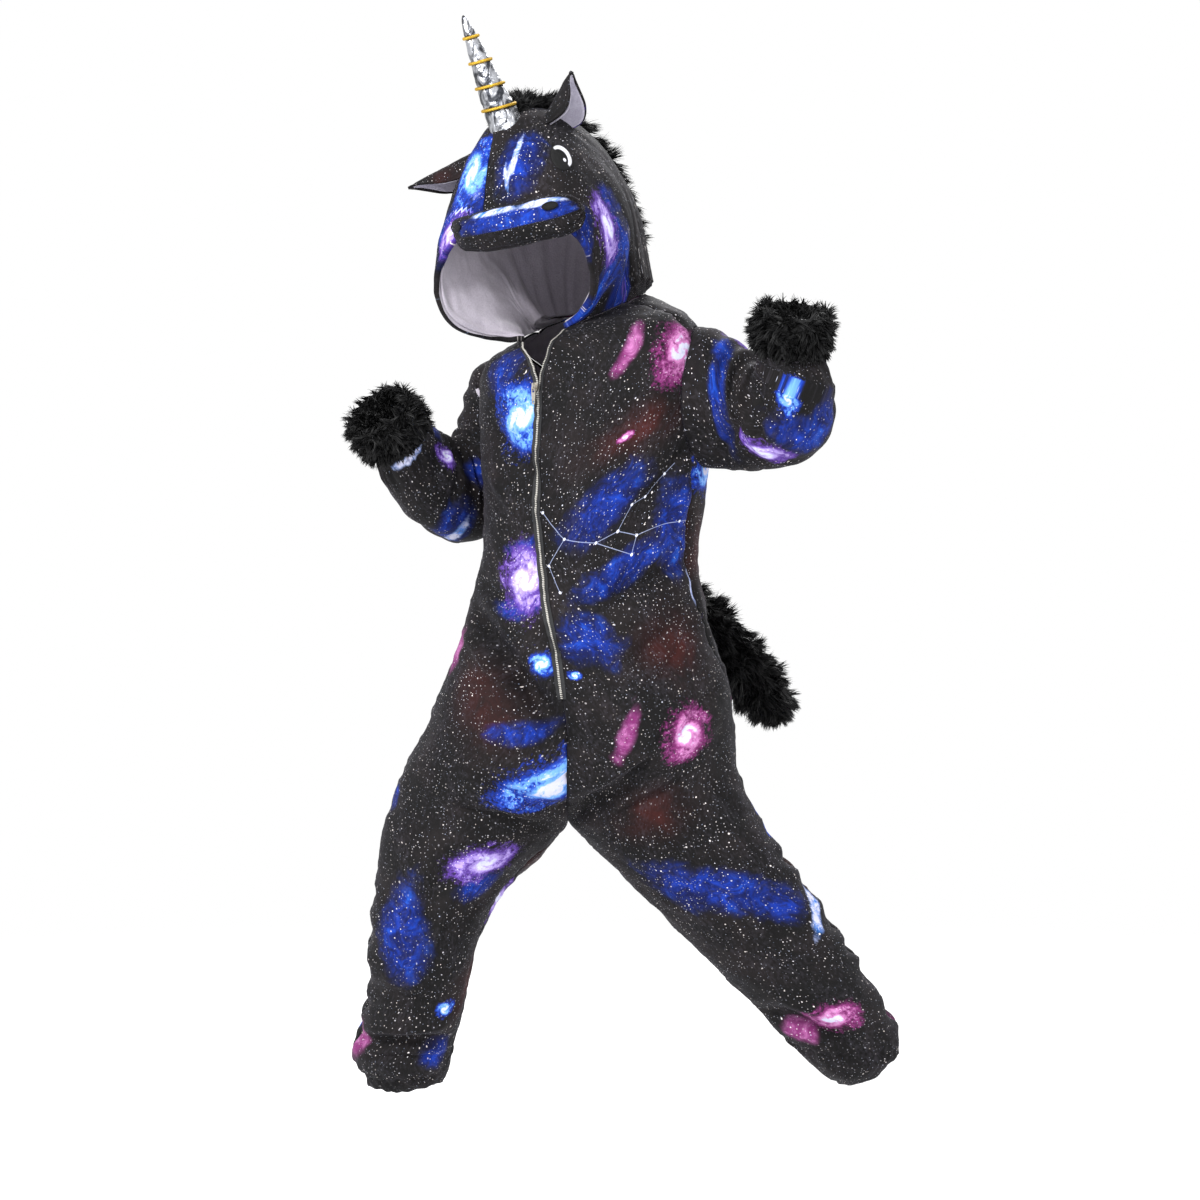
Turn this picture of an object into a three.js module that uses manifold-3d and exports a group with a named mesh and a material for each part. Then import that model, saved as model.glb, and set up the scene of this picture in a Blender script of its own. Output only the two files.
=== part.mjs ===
// A child's hooded plush onesie with a horn, mane, ears and tail, worn hollow in a pouncing stance.
// Millimetres, +Z up. The front faces -Y, turned a little towards -X, and the garment's own left
// side is towards +X. The origin is between the shoulders, where the garment hangs on its wearer.

import * as THREE from "three";
import { mergeVertices } from "three/addons/utils/BufferGeometryUtils.js";
import Module from "manifold-3d";

// Thicknesses of the plush and of the lining, and the space between two pieces
const CLOTH = 2.4;
const LINING = 1.6;
const GAP = 0.3;
const LINING_GAP = 0.6;
const SEAM = GAP / 2;
// Columns of a body panel, from the middle line to the side seam
const HALF_COLUMNS = 7;
const LEFT = 1;
const RIGHT = -1;

// Materials

function material(name, color, roughness, metalness = 0) {
  const result = new THREE.MeshStandardMaterial({ color, roughness, metalness });
  result.name = name;
  return result;
}

const MATERIALS = {
  plush: material("plush", 0x1f2547, 0.85),
  lining: material("lining", 0xb9b2ba, 0.95),
  fur: material("fur", 0x0c0c0d, 0.9),
  lame: material("lame", 0xb9bcc4, 0.35, 0.7),
  cord: material("cord", 0xd0a23c, 0.4, 0.6),
  embroidery: material("embroidery", 0x101014, 0.6),
  tape: material("tape", 0xc9ccd2, 0.4, 0.3),
  metal: material("metal", 0xcfcabb, 0.3, 0.9),
};

// Tables and vectors

function table(columns, rows) {
  const names = columns.split(" ");
  return rows.map((row) => Object.fromEntries(names.map((name, i) => [name, row[i]])));
}

function vec(x, y, z) {
  return new THREE.Vector3(x, y, z);
}

function along(origin, ...terms) {
  const point = origin.clone();
  for (const [direction, amount] of terms) point.addScaledVector(direction, amount);
  return point;
}

function radians(degrees) {
  return THREE.MathUtils.degToRad(degrees);
}

function smooth(value) {
  const t = Math.min(Math.max(value, 0), 1);
  return t * t * (3 - 2 * t);
}

// A smooth curve through four neighbouring values, which are numbers or vectors.
function curveValue(a, b, c, d, t) {
  const weights = [
    -0.5 * t + t * t - 0.5 * t ** 3,
    1 - 2.5 * t * t + 1.5 * t ** 3,
    0.5 * t + 2 * t * t - 1.5 * t ** 3,
    -0.5 * t * t + 0.5 * t ** 3,
  ];
  if (typeof a === "number") {
    return a * weights[0] + b * weights[1] + c * weights[2] + d * weights[3];
  }
  return along(vec(0, 0, 0), [a, weights[0]], [b, weights[1]], [c, weights[2]], [d, weights[3]]);
}

// Rows put between the rows of a table, on smooth curves through them. stepsAfter says how many
// spans each span of the table becomes.
function refine(rows, stepsAfter) {
  const at = (i) => rows[Math.min(Math.max(i, 0), rows.length - 1)];
  const fine = [];
  for (let i = 0; i < rows.length - 1; i++) {
    const steps = typeof stepsAfter === "number" ? stepsAfter : stepsAfter(rows[i], rows[i + 1]);
    for (let k = 0; k < steps; k++) {
      const near = [at(i - 1), at(i), at(i + 1), at(i + 2)];
      const keys = Object.keys(rows[i]);
      const value = (key) => curveValue(...near.map((row) => row[key]), k / steps);
      fine.push(Object.fromEntries(keys.map((key) => [key, value(key)])));
    }
  }
  fine.push(rows.at(-1));
  return fine;
}

// Solids

const wasm = await Module();
wasm.setup();

function geometryOf(points, faces) {
  const geometry = new THREE.BufferGeometry();
  const numbers = points.flatMap((p) => [p.x, p.y, p.z]);
  geometry.setAttribute("position", new THREE.Float32BufferAttribute(numbers, 3));
  let volume = 0;
  for (const [a, b, c] of faces) {
    volume += points[a].dot(vec(0, 0, 0).crossVectors(points[b], points[c]));
  }
  const outward = volume > 0 ? faces : faces.map(([a, b, c]) => [a, c, b]);
  geometry.setIndex(outward.flat());
  return geometry;
}

// A closed wall between two grids of points. A grid is a list of rows, and a wrapped one is a tube.
function wall(outer, inner, wrapped = false) {
  const rows = outer.length;
  const columns = outer[0].length;
  const points = [...outer.flat(), ...inner.flat()];
  const faces = [];
  const top = (i, j) => i * columns + (j % columns);
  const under = (i, j) => rows * columns + top(i, j);
  const quad = (a, b, c, d) => faces.push([a, b, c], [a, c, d]);
  const spans = wrapped ? columns : columns - 1;
  for (let i = 0; i < rows - 1; i++) {
    for (let j = 0; j < spans; j++) {
      quad(top(i, j), top(i, j + 1), top(i + 1, j + 1), top(i + 1, j));
      quad(under(i, j), under(i + 1, j), under(i + 1, j + 1), under(i, j + 1));
    }
  }
  for (let j = 0; j < spans; j++) {
    quad(top(0, j), under(0, j), under(0, j + 1), top(0, j + 1));
    quad(top(rows - 1, j), top(rows - 1, j + 1), under(rows - 1, j + 1), under(rows - 1, j));
  }
  if (!wrapped) {
    for (let i = 0; i < rows - 1; i++) {
      quad(top(i, 0), top(i + 1, 0), under(i + 1, 0), under(i, 0));
      const last = columns - 1;
      quad(top(i, last), under(i, last), under(i + 1, last), top(i + 1, last));
    }
  }
  return geometryOf(points, faces);
}

// A filled solid through closed rings of points.
function loft(rings) {
  const count = rings[0].length;
  const points = rings.flat();
  const faces = [];
  for (let i = 0; i < rings.length - 1; i++) {
    for (let j = 0; j < count; j++) {
      const [a, b] = [i * count + j, i * count + ((j + 1) % count)];
      faces.push([a, b, b + count], [a, b + count, a + count]);
    }
  }
  const cap = (ring, start, flip) => {
    const middle = points.length;
    points.push(along(vec(0, 0, 0), ...ring.map((p) => [p, 1 / count])));
    for (let j = 0; j < count; j++) {
      const [a, b] = [start + j, start + ((j + 1) % count)];
      faces.push(flip ? [middle, b, a] : [middle, a, b]);
    }
  };
  cap(rings[0], 0, true);
  cap(rings.at(-1), (rings.length - 1) * count, false);
  return geometryOf(points, faces);
}

// A closed ring of closed rings
function torus(rings) {
  const count = rings[0].length;
  const total = rings.length;
  const faces = [];
  for (let i = 0; i < total; i++) {
    for (let j = 0; j < count; j++) {
      const next = (i + 1) % total;
      const [a, b] = [i * count + j, i * count + ((j + 1) % count)];
      const [c, d] = [next * count + ((j + 1) % count), next * count + j];
      faces.push([a, b, c], [a, c, d]);
    }
  }
  return geometryOf(rings.flat(), faces);
}

function solidOf(geometry) {
  const plain = geometry.clone();
  for (const name of ["normal", "uv"]) plain.deleteAttribute(name);
  const merged = mergeVertices(plain, 1e-4);
  const mesh = new wasm.Mesh({
    numProp: 3,
    vertProperties: Float32Array.from(merged.attributes.position.array),
    triVerts: Uint32Array.from(merged.index.array),
  });
  return new wasm.Manifold(mesh);
}

// The largest piece that is left of a solid after others are cut from it, without its slivers.
const SHORTEST_EDGE = 0.02;

function cut(geometry, ...cutters) {
  let solid = solidOf(geometry);
  for (const cutter of cutters) solid = solid.subtract(cutter);
  const pieces = solid.decompose().sort((a, b) => b.volume() - a.volume());
  return geometryFrom(pieces[0].simplify(SHORTEST_EDGE));
}

function geometryFrom(solid) {
  const mesh = solid.getMesh();
  const result = new THREE.BufferGeometry();
  const numbers = Float32Array.from(mesh.vertProperties);
  result.setAttribute("position", new THREE.Float32BufferAttribute(numbers, 3));
  result.setIndex(Array.from(mesh.triVerts));
  return result;
}

const onesie = new THREE.Group();

function add(name, geometry, finish) {
  const mesh = new THREE.Mesh(geometry, finish);
  mesh.name = name;
  onesie.add(mesh);
}

// Normals of a grid of points, one for each point, towards the side where columns turn from rows.
function gridNormals(grid, wrapped = false) {
  const rows = grid.length;
  const columns = grid[0].length;
  const normals = grid.map((row) => row.map(() => vec(0, 0, 0)));
  const spans = wrapped ? columns : columns - 1;
  for (let i = 0; i < rows - 1; i++) {
    for (let j = 0; j < spans; j++) {
      const next = (j + 1) % columns;
      const across = grid[i + 1][next].clone().sub(grid[i][j]);
      const other = grid[i][next].clone().sub(grid[i + 1][j]);
      const face = across.cross(other);
      for (const [r, c] of [[i, j], [i, next], [i + 1, j], [i + 1, next]]) normals[r][c].add(face);
    }
  }
  return normals;
}

function unit(normals) {
  return normals.map((row) => row.map((n) => n.clone().normalize()));
}

function offset(grid, normals, distance) {
  const reach = (i) => (typeof distance === "number" ? distance : distance[i]);
  return grid.map((row, i) => row.map((p, j) => along(p, [normals[i][j], reach(i)])));
}

// The largest folds, as lines in the XZ plane with a soft trough (negative) or ridge along them.
// face is -1 for folds seen from the front and 1 for those behind.

const FOLDS = table("x0 z0 x1 z1 width depth face", [
  [-132, -330, -30, -450, 20, -13, -1],
  [-112, -372, -8, -492, 20, -12, -1],
  [-60, -400, 30, -470, 22, 7, -1],
  [-130, -300, -60, -330, 20, -9, -1],
  [130, -275, 20, -330, 24, -9, -1],
  [140, -330, 60, -420, 24, -7, -1],
  [-8, -590, -110, -552, 22, -13, -1],
  [0, -585, 90, -530, 24, -10, -1],
  [-120, -95, -40, -190, 24, -6, -1],
  [150, -120, 70, -230, 26, -6, -1],
  [-262, -865, -150, -862, 14, -12, -1],
  [-255, -800, -170, -815, 18, -7, -1],
  [-150, -640, -210, -770, 24, -7, -1],
  [232, -835, 345, -872, 18, -12, -1],
  [175, -700, 250, -790, 26, -7, -1],
  [225, -680, 260, -745, 18, -7, -1],
  [110, -560, 190, -640, 24, -9, -1],
  [-80, -330, 60, -390, 26, -10, 1],
  [140, -320, 20, -400, 24, -9, 1],
  [-150, -540, -20, -600, 24, -10, 1],
  [20, -590, 150, -560, 24, -10, 1],
  [-60, -110, 60, -200, 28, -6, 1],
  [150, -690, 260, -800, 24, -9, 1],
  [-160, -660, -200, -800, 24, -7, 1],
  [-265, -868, -150, -864, 14, -10, 1],
  [232, -835, 345, -872, 18, -10, 1],
]);

// How far the cloth turns sideways before a fold is lost, and how much shallower its ends are
const FOLD_TURN = 0.5;
const FOLD_FADE = 0.6;

function foldHeight(point, normal) {
  let height = 0;
  for (const fold of FOLDS) {
    const facing = smooth((normal.y * fold.face) / FOLD_TURN);
    const [lineX, lineZ] = [fold.x1 - fold.x0, fold.z1 - fold.z0];
    const length = Math.hypot(lineX, lineZ);
    const share = ((point.x - fold.x0) * lineX + (point.z - fold.z0) * lineZ) / length ** 2;
    const t = Math.min(Math.max(share, 0), 1);
    const away = Math.hypot(point.x - fold.x0 - t * lineX, point.z - fold.z0 - t * lineZ);
    const profile = Math.cos((Math.PI / 2) * Math.min(away / fold.width, 1)) ** 2;
    height += fold.depth * facing * profile * (1 - FOLD_FADE * (2 * t - 1) ** 4);
  }
  return height;
}

function folded(grid, normals) {
  const shift = (p, n) => along(p, [n, foldHeight(p, n)]);
  return grid.map((row, i) => row.map((p, j) => shift(p, normals[i][j])));
}

// Body: stations from the neck to the ankles. Each side is half a ring round the middle line, which
// branches into a leg: branch is 0 on the trunk and 1 where the leg closes at its inseam.

const TRUNK = table("x y z depth yaw rise branch vee widthLeft tiltLeft widthRight tiltRight", [
  [11, -8, 24, 84, 40, 30, 0, 34, 74, 15, 76, -6],
  [15, -7, 9, 94, 40, 22, 0, 26, 106, 15, 108, -5],
  [19, -6, -8, 102, 39, 14, 0, 17, 137, 13, 138, -3],
  [23, -5, -32, 109, 38, 7, 0, 8, 156, 10, 157, -2],
  [25, -5, -62, 113, 38, 3, 0, 0, 160, 6, 162, 0],
  [26, -5, -105, 117, 37, 0, 0, 0, 157, 2, 160, 0],
  [25, -5, -155, 121, 37, 0, 0, 0, 152, 0, 154, 0],
  [24, -4, -210, 121, 36, 0, 0, 0, 144, 0, 147, 0],
  [20, -2, -270, 118, 31, 0, 0, 0, 138, 0, 143, 0],
  [16, 0, -330, 125, 24, 0, 0, 0, 149, 0, 150, 0],
  [12, 0, -390, 135, 15, 0, 0, 0, 165, 3, 164, 0],
  [9, 0, -450, 140, 9, 0, 0.08, 0, 185, 9, 180, 2],
  [3, 0, -505, 140, 5, 0, 0.28, 0, 202, 17, 193, 5],
  [-3, 0, -550, 138, 3, 0, 0.55, 0, 218, 24, 206, 9],
  [-7, 0, -580, 132, 1, 0, 0.8, 0, 230, 27, 212, 11],
]);

const LEG_LEFT = table("innerX innerZ outerX outerZ y depth", [
  [-9, -602, 201, -490, 0, 120],
  [44, -653, 206, -543, -8, 98],
  [107, -716, 241, -613, -12, 84],
  [158, -767, 284, -673, -8, 76],
  [219, -826, 331, -742, 8, 68],
  [254, -867, 360, -787, 22, 64],
  [290, -902, 390, -834, 35, 60],
  [312, -922, 409, -872, 44, 54],
  [328, -932, 399, -903, 50, 38],
]);

const LEG_RIGHT = table("innerX innerZ outerX outerZ y depth", [
  [-9, -602, -224, -557, 0, 120],
  [-35, -633, -238, -611, -20, 104],
  [-67, -659, -244, -648, -35, 92],
  [-93, -690, -247, -689, -50, 84],
  [-110, -722, -251, -730, -65, 78],
  [-122, -757, -252, -762, -75, 73],
  [-131, -805, -253, -799, -65, 68],
  [-140, -844, -264, -844, -45, 68],
  [-147, -868, -274, -873, -35, 68],
  [-155, -900, -267, -902, -24, 58],
  [-163, -920, -256, -924, -20, 42],
]);

function trunkStation(row, side) {
  const yaw = radians(row.yaw);
  const tilt = radians(side === LEFT ? row.tiltLeft : row.tiltRight);
  const width = side === LEFT ? row.widthLeft : row.widthRight;
  const sideways = vec(Math.cos(yaw), -Math.sin(yaw), 0).multiplyScalar(side * Math.cos(tilt));
  return {
    pivot: vec(row.x, row.y, row.z),
    out: sideways.setZ(Math.sin(tilt)).multiplyScalar(width),
    back: vec(row.depth * Math.sin(yaw), row.depth * Math.cos(yaw), row.rise),
    branch: row.branch,
    vee: row.vee,
  };
}

function legStations(rows) {
  const centre = (row) => vec((row.innerX + row.outerX) / 2, row.y, (row.innerZ + row.outerZ) / 2);
  return rows.map((row, i) => {
    const out = vec(row.outerX - row.innerX, 0, row.outerZ - row.innerZ);
    const before = centre(rows[Math.max(i - 1, 0)]);
    const travel = centre(rows[Math.min(i + 1, rows.length - 1)]).sub(before);
    const back = i === 0 ? vec(0, 1, 0) : out.clone().cross(travel).normalize();
    if (back.y < 0) back.negate();
    return {
      pivot: vec(row.innerX, row.y, row.innerZ),
      out,
      back: back.multiplyScalar(row.depth),
      branch: 1,
      vee: 0,
    };
  });
}

// A span of stations longer than this is drawn in two.
const LONGEST_SPAN = 34;

function sideStations(side) {
  const trunk = TRUNK.map((row) => trunkStation(row, side));
  const leg = legStations(side === LEFT ? LEG_LEFT : LEG_RIGHT);
  const steps = (station, next) => (station.pivot.distanceTo(next.pivot) > LONGEST_SPAN ? 2 : 1);
  return refine([...trunk, ...leg], steps);
}

// The angle where a station's ring meets the middle line: 90 degrees on the trunk, 180 on a leg.
function innerAngle(station) {
  return Math.acos(-Math.min(Math.max(station.branch, 0), 1));
}

function stationPoint(station, angle) {
  const branch = Math.min(Math.max(station.branch, 0), 1);
  const outward = (branch + Math.cos(angle)) / (1 + branch);
  return along(station.pivot, [station.out, outward], [station.back, Math.sin(angle)]);
}

// One side of the body as a grid: columns from the front middle, over the side seam, to the back.
function sideGrid(side) {
  return sideStations(side).map((station) => {
    const reach = innerAngle(station);
    const vee = Math.asin(Math.max(station.vee, 0) / station.out.length());
    const row = [];
    for (let j = -HALF_COLUMNS; j <= HALF_COLUMNS; j++) {
      const share = j / HALF_COLUMNS;
      row.push(stationPoint(station, share * (share < 0 ? reach - vee : reach)));
    }
    return row;
  });
}

const bodyGrid = { [LEFT]: sideGrid(LEFT), [RIGHT]: sideGrid(RIGHT) };
const middleStations = sideStations(LEFT);
const CROTCH_ROW = middleStations.findIndex((station) => station.branch >= 1);
const rowsAbove = (height) => middleStations.filter((s) => s.branch < 1 && s.pivot.z > height).length;

// Both sides share their normals where their seams meet, so their walls lie edge to edge.
function bodyNormals() {
  const left = gridNormals(bodyGrid[LEFT]);
  const right = gridNormals(bodyGrid[RIGHT]).map((row) => row.map((n) => n.negate()));
  const last = 2 * HALF_COLUMNS;
  const share = (...normals) => {
    const sum = along(vec(0, 0, 0), ...normals.map((n) => [n, 1]));
    for (const n of normals) n.copy(sum);
  };
  for (let i = 0; i < left.length || i < right.length; i++) {
    if (i < CROTCH_ROW) {
      share(left[i][last], right[i][last]);
      if (middleStations[i].vee <= 0) share(left[i][0], right[i][0]);
    } else if (i === CROTCH_ROW) {
      share(left[i][0], left[i][last], right[i][0], right[i][last]);
    } else {
      for (const side of [left, right]) if (side[i]) share(side[i][0], side[i][last]);
    }
  }
  return { [LEFT]: unit(left), [RIGHT]: unit(right) };
}

const normalsOfBody = bodyNormals();
for (const side of [LEFT, RIGHT]) {
  bodyGrid[side] = folded(bodyGrid[side], normalsOfBody[side]);
}

// A panel's edge is drawn back from its seam, so that panels lie a gap apart.
function seamTrim(grid, side) {
  return grid.map((row, i) => {
    const last = row.length - 1;
    const trimmed = row.map((p) => p.clone());
    trimmed[0].addScaledVector(row[1].clone().sub(row[0]).normalize(), SEAM);
    trimmed[last].addScaledVector(row[last - 1].clone().sub(row[last]).normalize(), SEAM);
    const middle = i <= CROTCH_ROW ? side * SEAM : 0;
    for (const p of trimmed) p.x += middle;
    return trimmed;
  });
}

// A panel's wall, or the space that it needs, a clearance over and under it
function bodyPanel(side, first, last, clearance = 0) {
  const take = (grid) => grid.map((row) => row.slice(first, last + 1));
  const normals = take(normalsOfBody[side]);
  const outer = offset(take(bodyGrid[side]), normals, clearance);
  const inner = offset(outer, normals, -CLOTH - 2 * clearance);
  const turned = (grid) => (side === RIGHT ? grid.map((row) => row.reverse()) : grid);
  return wall(turned(seamTrim(outer, side)), turned(seamTrim(inner, side)));
}

// The trunk's outer skin as a filled solid, a clearance larger, for cutting what meets it.
const CORE_END = -460;

function trunkCore(clearance) {
  const rings = [];
  for (let i = 0; i < rowsAbove(CORE_END); i++) {
    const ring = [];
    for (const side of [LEFT, RIGHT]) {
      const row = offset([bodyGrid[side][i]], [normalsOfBody[side][i]], clearance)[0];
      if (side === RIGHT) row.reverse();
      ring.push(...(side === LEFT ? row : row.slice(1)));
    }
    rings.push(ring);
  }
  return loft(rings);
}

// Sleeves: the inner points run along the crook of the elbow and the outer ones over its point.
// depth is half the sleeve's thickness across that line. Each ends on the base of its cuff.

const SLEEVE_COLUMNS = 14;
const LONGEST_SLEEVE_SPAN = 36;

const SLEEVES = {
  [LEFT]: table("innerX innerY innerZ outerX outerY outerZ depth", [
    [112, -30, -16, 124, -50, -156, 54],
    [158, -72, 10, 168, -72, -163, 60],
    [188, -92, -5, 205, -88, -166, 62],
    [207, -112, -26, 238, -104, -166, 60],
    [215, -132, -44, 271, -120, -160, 57],
    [217, -150, -54, 294, -136, -146, 54],
    [217, -166, -57, 308, -150, -125, 51],
    [217, -181, -53, 312, -166, -100, 48],
    [219, -195, -43, 311, -182, -72, 45],
  ]),
  [RIGHT]: table("innerX innerY innerZ outerX outerY outerZ depth", [
    [-96, 60, -38, -8, 90, -75, 45],
    [-128, 85, -34, -20, 122, -100, 55],
    [-139, 95, -62, -34, 142, -138, 56],
    [-145, 94, -94, -54, 142, -178, 55],
    [-150, 84, -114, -80, 130, -212, 53],
    [-157, 70, -124, -110, 108, -240, 51],
    [-163, 54, -124, -146, 82, -252, 49],
    [-170, 36, -118, -174, 52, -243, 47],
    [-178, 16, -110, -205, 22, -220, 45],
    [-188, -4, -100, -228, -6, -190, 43],
  ]),
};

const CUFFS = {
  [LEFT]: { base: vec(256, -194, -31), axis: vec(0.1, -0.33, 0.94), sleeveRadius: 43 },
  [RIGHT]: { base: vec(-217, -22, -126), axis: vec(-0.5, -0.57, 0.65), sleeveRadius: 41 },
};

const CUFF_PROFILE = table("along radius", [
  [0, 37.5],
  [0, 45],
  [7, 50],
  [20, 52],
  [36, 52],
  [48, 49],
  [55, 43],
  [50, 37],
  [25, 36],
]);

function ringAt(centre, across, deep, columns) {
  const ring = [];
  for (let j = 0; j < columns; j++) {
    const angle = (2 * Math.PI * j) / columns;
    ring.push(along(centre, [across, Math.cos(angle)], [deep, Math.sin(angle)]));
  }
  return ring;
}

function sleeveRings(side) {
  const span = (row, next) => Math.hypot(next.outerX - row.outerX, next.outerZ - row.outerZ);
  const rows = refine(SLEEVES[side], (row, next) => (span(row, next) > LONGEST_SLEEVE_SPAN ? 2 : 1));
  const inner = (row) => vec(row.innerX, row.innerY, row.innerZ);
  const outer = (row) => vec(row.outerX, row.outerY, row.outerZ);
  const middle = (row) => inner(row).lerp(outer(row), 0.5);
  const rings = rows.map((row, i) => {
    const across = outer(row).sub(inner(row)).multiplyScalar(0.5);
    const after = i + 1 < rows.length ? middle(rows[i + 1]) : CUFFS[side].base.clone();
    const travel = after.sub(middle(rows[Math.max(i - 1, 0)]));
    const deep = across.clone().cross(travel).normalize().multiplyScalar(row.depth);
    return { centre: middle(row), across, deep };
  });
  const cuff = CUFFS[side];
  const axis = cuff.axis.clone().normalize();
  const last = rings.at(-1);
  const across = last.across.clone().addScaledVector(axis, -last.across.dot(axis));
  const deep = axis.clone().cross(across).normalize();
  if (deep.dot(last.deep) < 0) deep.negate();
  rings.push({
    centre: along(cuff.base, [axis, -GAP]),
    across: across.normalize().multiplyScalar(cuff.sleeveRadius),
    deep: deep.multiplyScalar(cuff.sleeveRadius),
  });
  return rings.map((ring) => ringAt(ring.centre, ring.across, ring.deep, SLEEVE_COLUMNS));
}

function outwardNormals(rings) {
  const normals = unit(gridNormals(rings, true));
  const middle = along(vec(0, 0, 0), ...rings[2].map((p) => [p, 1 / rings[2].length]));
  const outward = rings[2][0].clone().sub(middle).dot(normals[2][0]) > 0;
  return outward ? normals : normals.map((row) => row.map((n) => n.negate()));
}

// Rings of a turned shape whose profile gives a radius at each height over its base
function turnedRing(base, axis, profile, columns) {
  const up = axis.clone().normalize();
  const side = vec(1, 0, 0).addScaledVector(up, -up.x).normalize();
  const deep = up.clone().cross(side);
  return profile.map((row) => {
    const centre = along(base, [up, row.along]);
    const across = side.clone().multiplyScalar(row.radius);
    return ringAt(centre, across, deep.clone().multiplyScalar(row.radius), columns);
  });
}

// The space over a cuff's base, which the sleeve keeps clear of
const CUFF_SPACE = table("along radius", [
  [-GAP, 75],
  [60, 75],
]);
const CUFF_COLUMNS = 20;

const trunkCutter = solidOf(trunkCore(GAP));
const sleeveCutters = {};

for (const [side, name] of [[LEFT, "left"], [RIGHT, "right"]]) {
  const plain = sleeveRings(side);
  const normals = outwardNormals(plain);
  const rings = folded(plain, normals);
  sleeveCutters[side] = solidOf(loft(offset(rings, normals, GAP)));
  const inner = offset(rings, normals, -CLOTH);
  const { base, axis } = CUFFS[side];
  const cuffSpace = solidOf(loft(turnedRing(base, axis, CUFF_SPACE, CUFF_COLUMNS)));
  add(`sleeve_${name}`, cut(wall(rings, inner, true), trunkCutter, cuffSpace), MATERIALS.plush);
}

const PANELS = [["front", 0, HALF_COLUMNS], ["back", HALF_COLUMNS, 2 * HALF_COLUMNS]];
for (const [panel, first, last] of PANELS) {
  const leftSpace = solidOf(bodyPanel(LEFT, first, last, GAP));
  for (const [side, name] of [[LEFT, "left"], [RIGHT, "right"]]) {
    const cutters = side === LEFT ? [sleeveCutters[side]] : [sleeveCutters[side], leftSpace];
    add(`${panel}_${name}`, cut(bodyPanel(side, first, last), ...cutters), MATERIALS.plush);
  }
}

// Cuffs: thick rings of long pile round the wrists

for (const [side, name] of [[LEFT, "left"], [RIGHT, "right"]]) {
  const { base, axis } = CUFFS[side];
  const rings = turnedRing(base, axis, CUFF_PROFILE, CUFF_COLUMNS);
  add(`cuff_${name}`, torus(rings), MATERIALS.fur);
}

// Hood: arches from the face opening over the crown to the nape, in the head's own directions

const HEAD = vec(-23, -50, 134);
const HEAD_YAW = 20;
const HEAD_PITCH = 15;
const HEAD_ROLL = 19;

const headTurn = new THREE.Matrix4()
  .makeRotationZ(radians(-HEAD_YAW))
  .multiply(new THREE.Matrix4().makeRotationX(radians(HEAD_PITCH)))
  .multiply(new THREE.Matrix4().makeRotationY(radians(-HEAD_ROLL)));
const headLeft = vec(1, 0, 0).transformDirection(headTurn);
const headFront = vec(0, -1, 0).transformDirection(headTurn);
const headUp = vec(0, 0, 1).transformDirection(headTurn);

function headPoint(left, front, up) {
  return along(HEAD, [headLeft, left], [headFront, front], [headUp, up]);
}

const ARCHES = table("shift front up tilt widthLeft widthRight height wall", [
  [-36, 108, -38, -8, 105, 105, 84, 7],
  [-28, 90, -28, -4, 106, 106, 106, 5],
  [-15, 66, -22, 0, 105, 105, 140, 2.4],
  [-8, 42, -20, 5, 103, 103, 165, 2.4],
  [2, 20, -20, 12, 94, 106, 175, 2.4],
  [10, 4, -22, 24, 85, 109, 172, 2.4],
  [18, -6, -28, 40, 74, 114, 160, 2.4],
  [24, -12, -38, 57, 64, 116, 146, 2.4],
  [26, -14, -52, 74, 57, 113, 133, 2.4],
  [14, -16, -72, 90, 65, 95, 119, 2.4],
  [0, -20, -98, 103, 75, 75, 100, 2.4],
]);

const ARCH_COLUMNS = 5;
const SKIRT_COLUMNS = 4;
const NECK_LIFT = 0.6;
// How strongly the hood's sides leave its arches, swing towards the middle and turn down
const SKIRT_PULL = 1.1;
const SKIRT_DROP = { front: 0.15, back: 0.85 };

function neckPoint(side, angle) {
  const station = trunkStation(TRUNK[0], side);
  return stationPoint(station, angle).setZ(stationPoint(station, angle).z + NECK_LIFT);
}

function hermite(from, leaving, to, arriving, t) {
  return along(
    vec(0, 0, 0),
    [from, 2 * t ** 3 - 3 * t * t + 1],
    [leaving, t ** 3 - 2 * t * t + t],
    [to, -2 * t ** 3 + 3 * t * t],
    [arriving, t ** 3 - t * t],
  );
}

const archRows = refine(ARCHES, 2);

function hoodRow(side, row, share) {
  const tilt = radians(row.tilt);
  const rising = along(vec(0, 0, 0), [headUp, Math.cos(tilt)], [headFront, -Math.sin(tilt)]);
  const centre = headPoint(row.shift, row.front, row.up);
  const width = side === LEFT ? row.widthLeft : row.widthRight;
  const points = [];
  for (let j = 0; j < ARCH_COLUMNS; j++) {
    const angle = (Math.PI / 2) * (1 - j / ARCH_COLUMNS);
    const sideways = side * width * Math.cos(angle);
    points.push(along(centre, [headLeft, sideways], [rising, row.height * Math.sin(angle)]));
  }
  const from = along(centre, [headLeft, side * width]);
  const station = trunkStation(TRUNK[0], side);
  const open = Math.asin(station.vee / station.out.length());
  const to = neckPoint(side, (open - Math.PI / 2) * (1 - share));
  const length = from.distanceTo(to);
  const leaving = rising.clone().multiplyScalar(-SKIRT_PULL * length);
  const middle = neckPoint(side, -Math.PI / 2).sub(to).normalize();
  const arriving = middle.multiplyScalar(length * (1 - share) * SKIRT_PULL);
  const drop = THREE.MathUtils.lerp(SKIRT_DROP.front, SKIRT_DROP.back, share);
  arriving.addScaledVector(vec(0, 0, -1), length * drop);
  for (let j = 0; j <= SKIRT_COLUMNS; j++) {
    points.push(hermite(from, leaving, to, arriving, j / SKIRT_COLUMNS));
  }
  return points;
}

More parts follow.
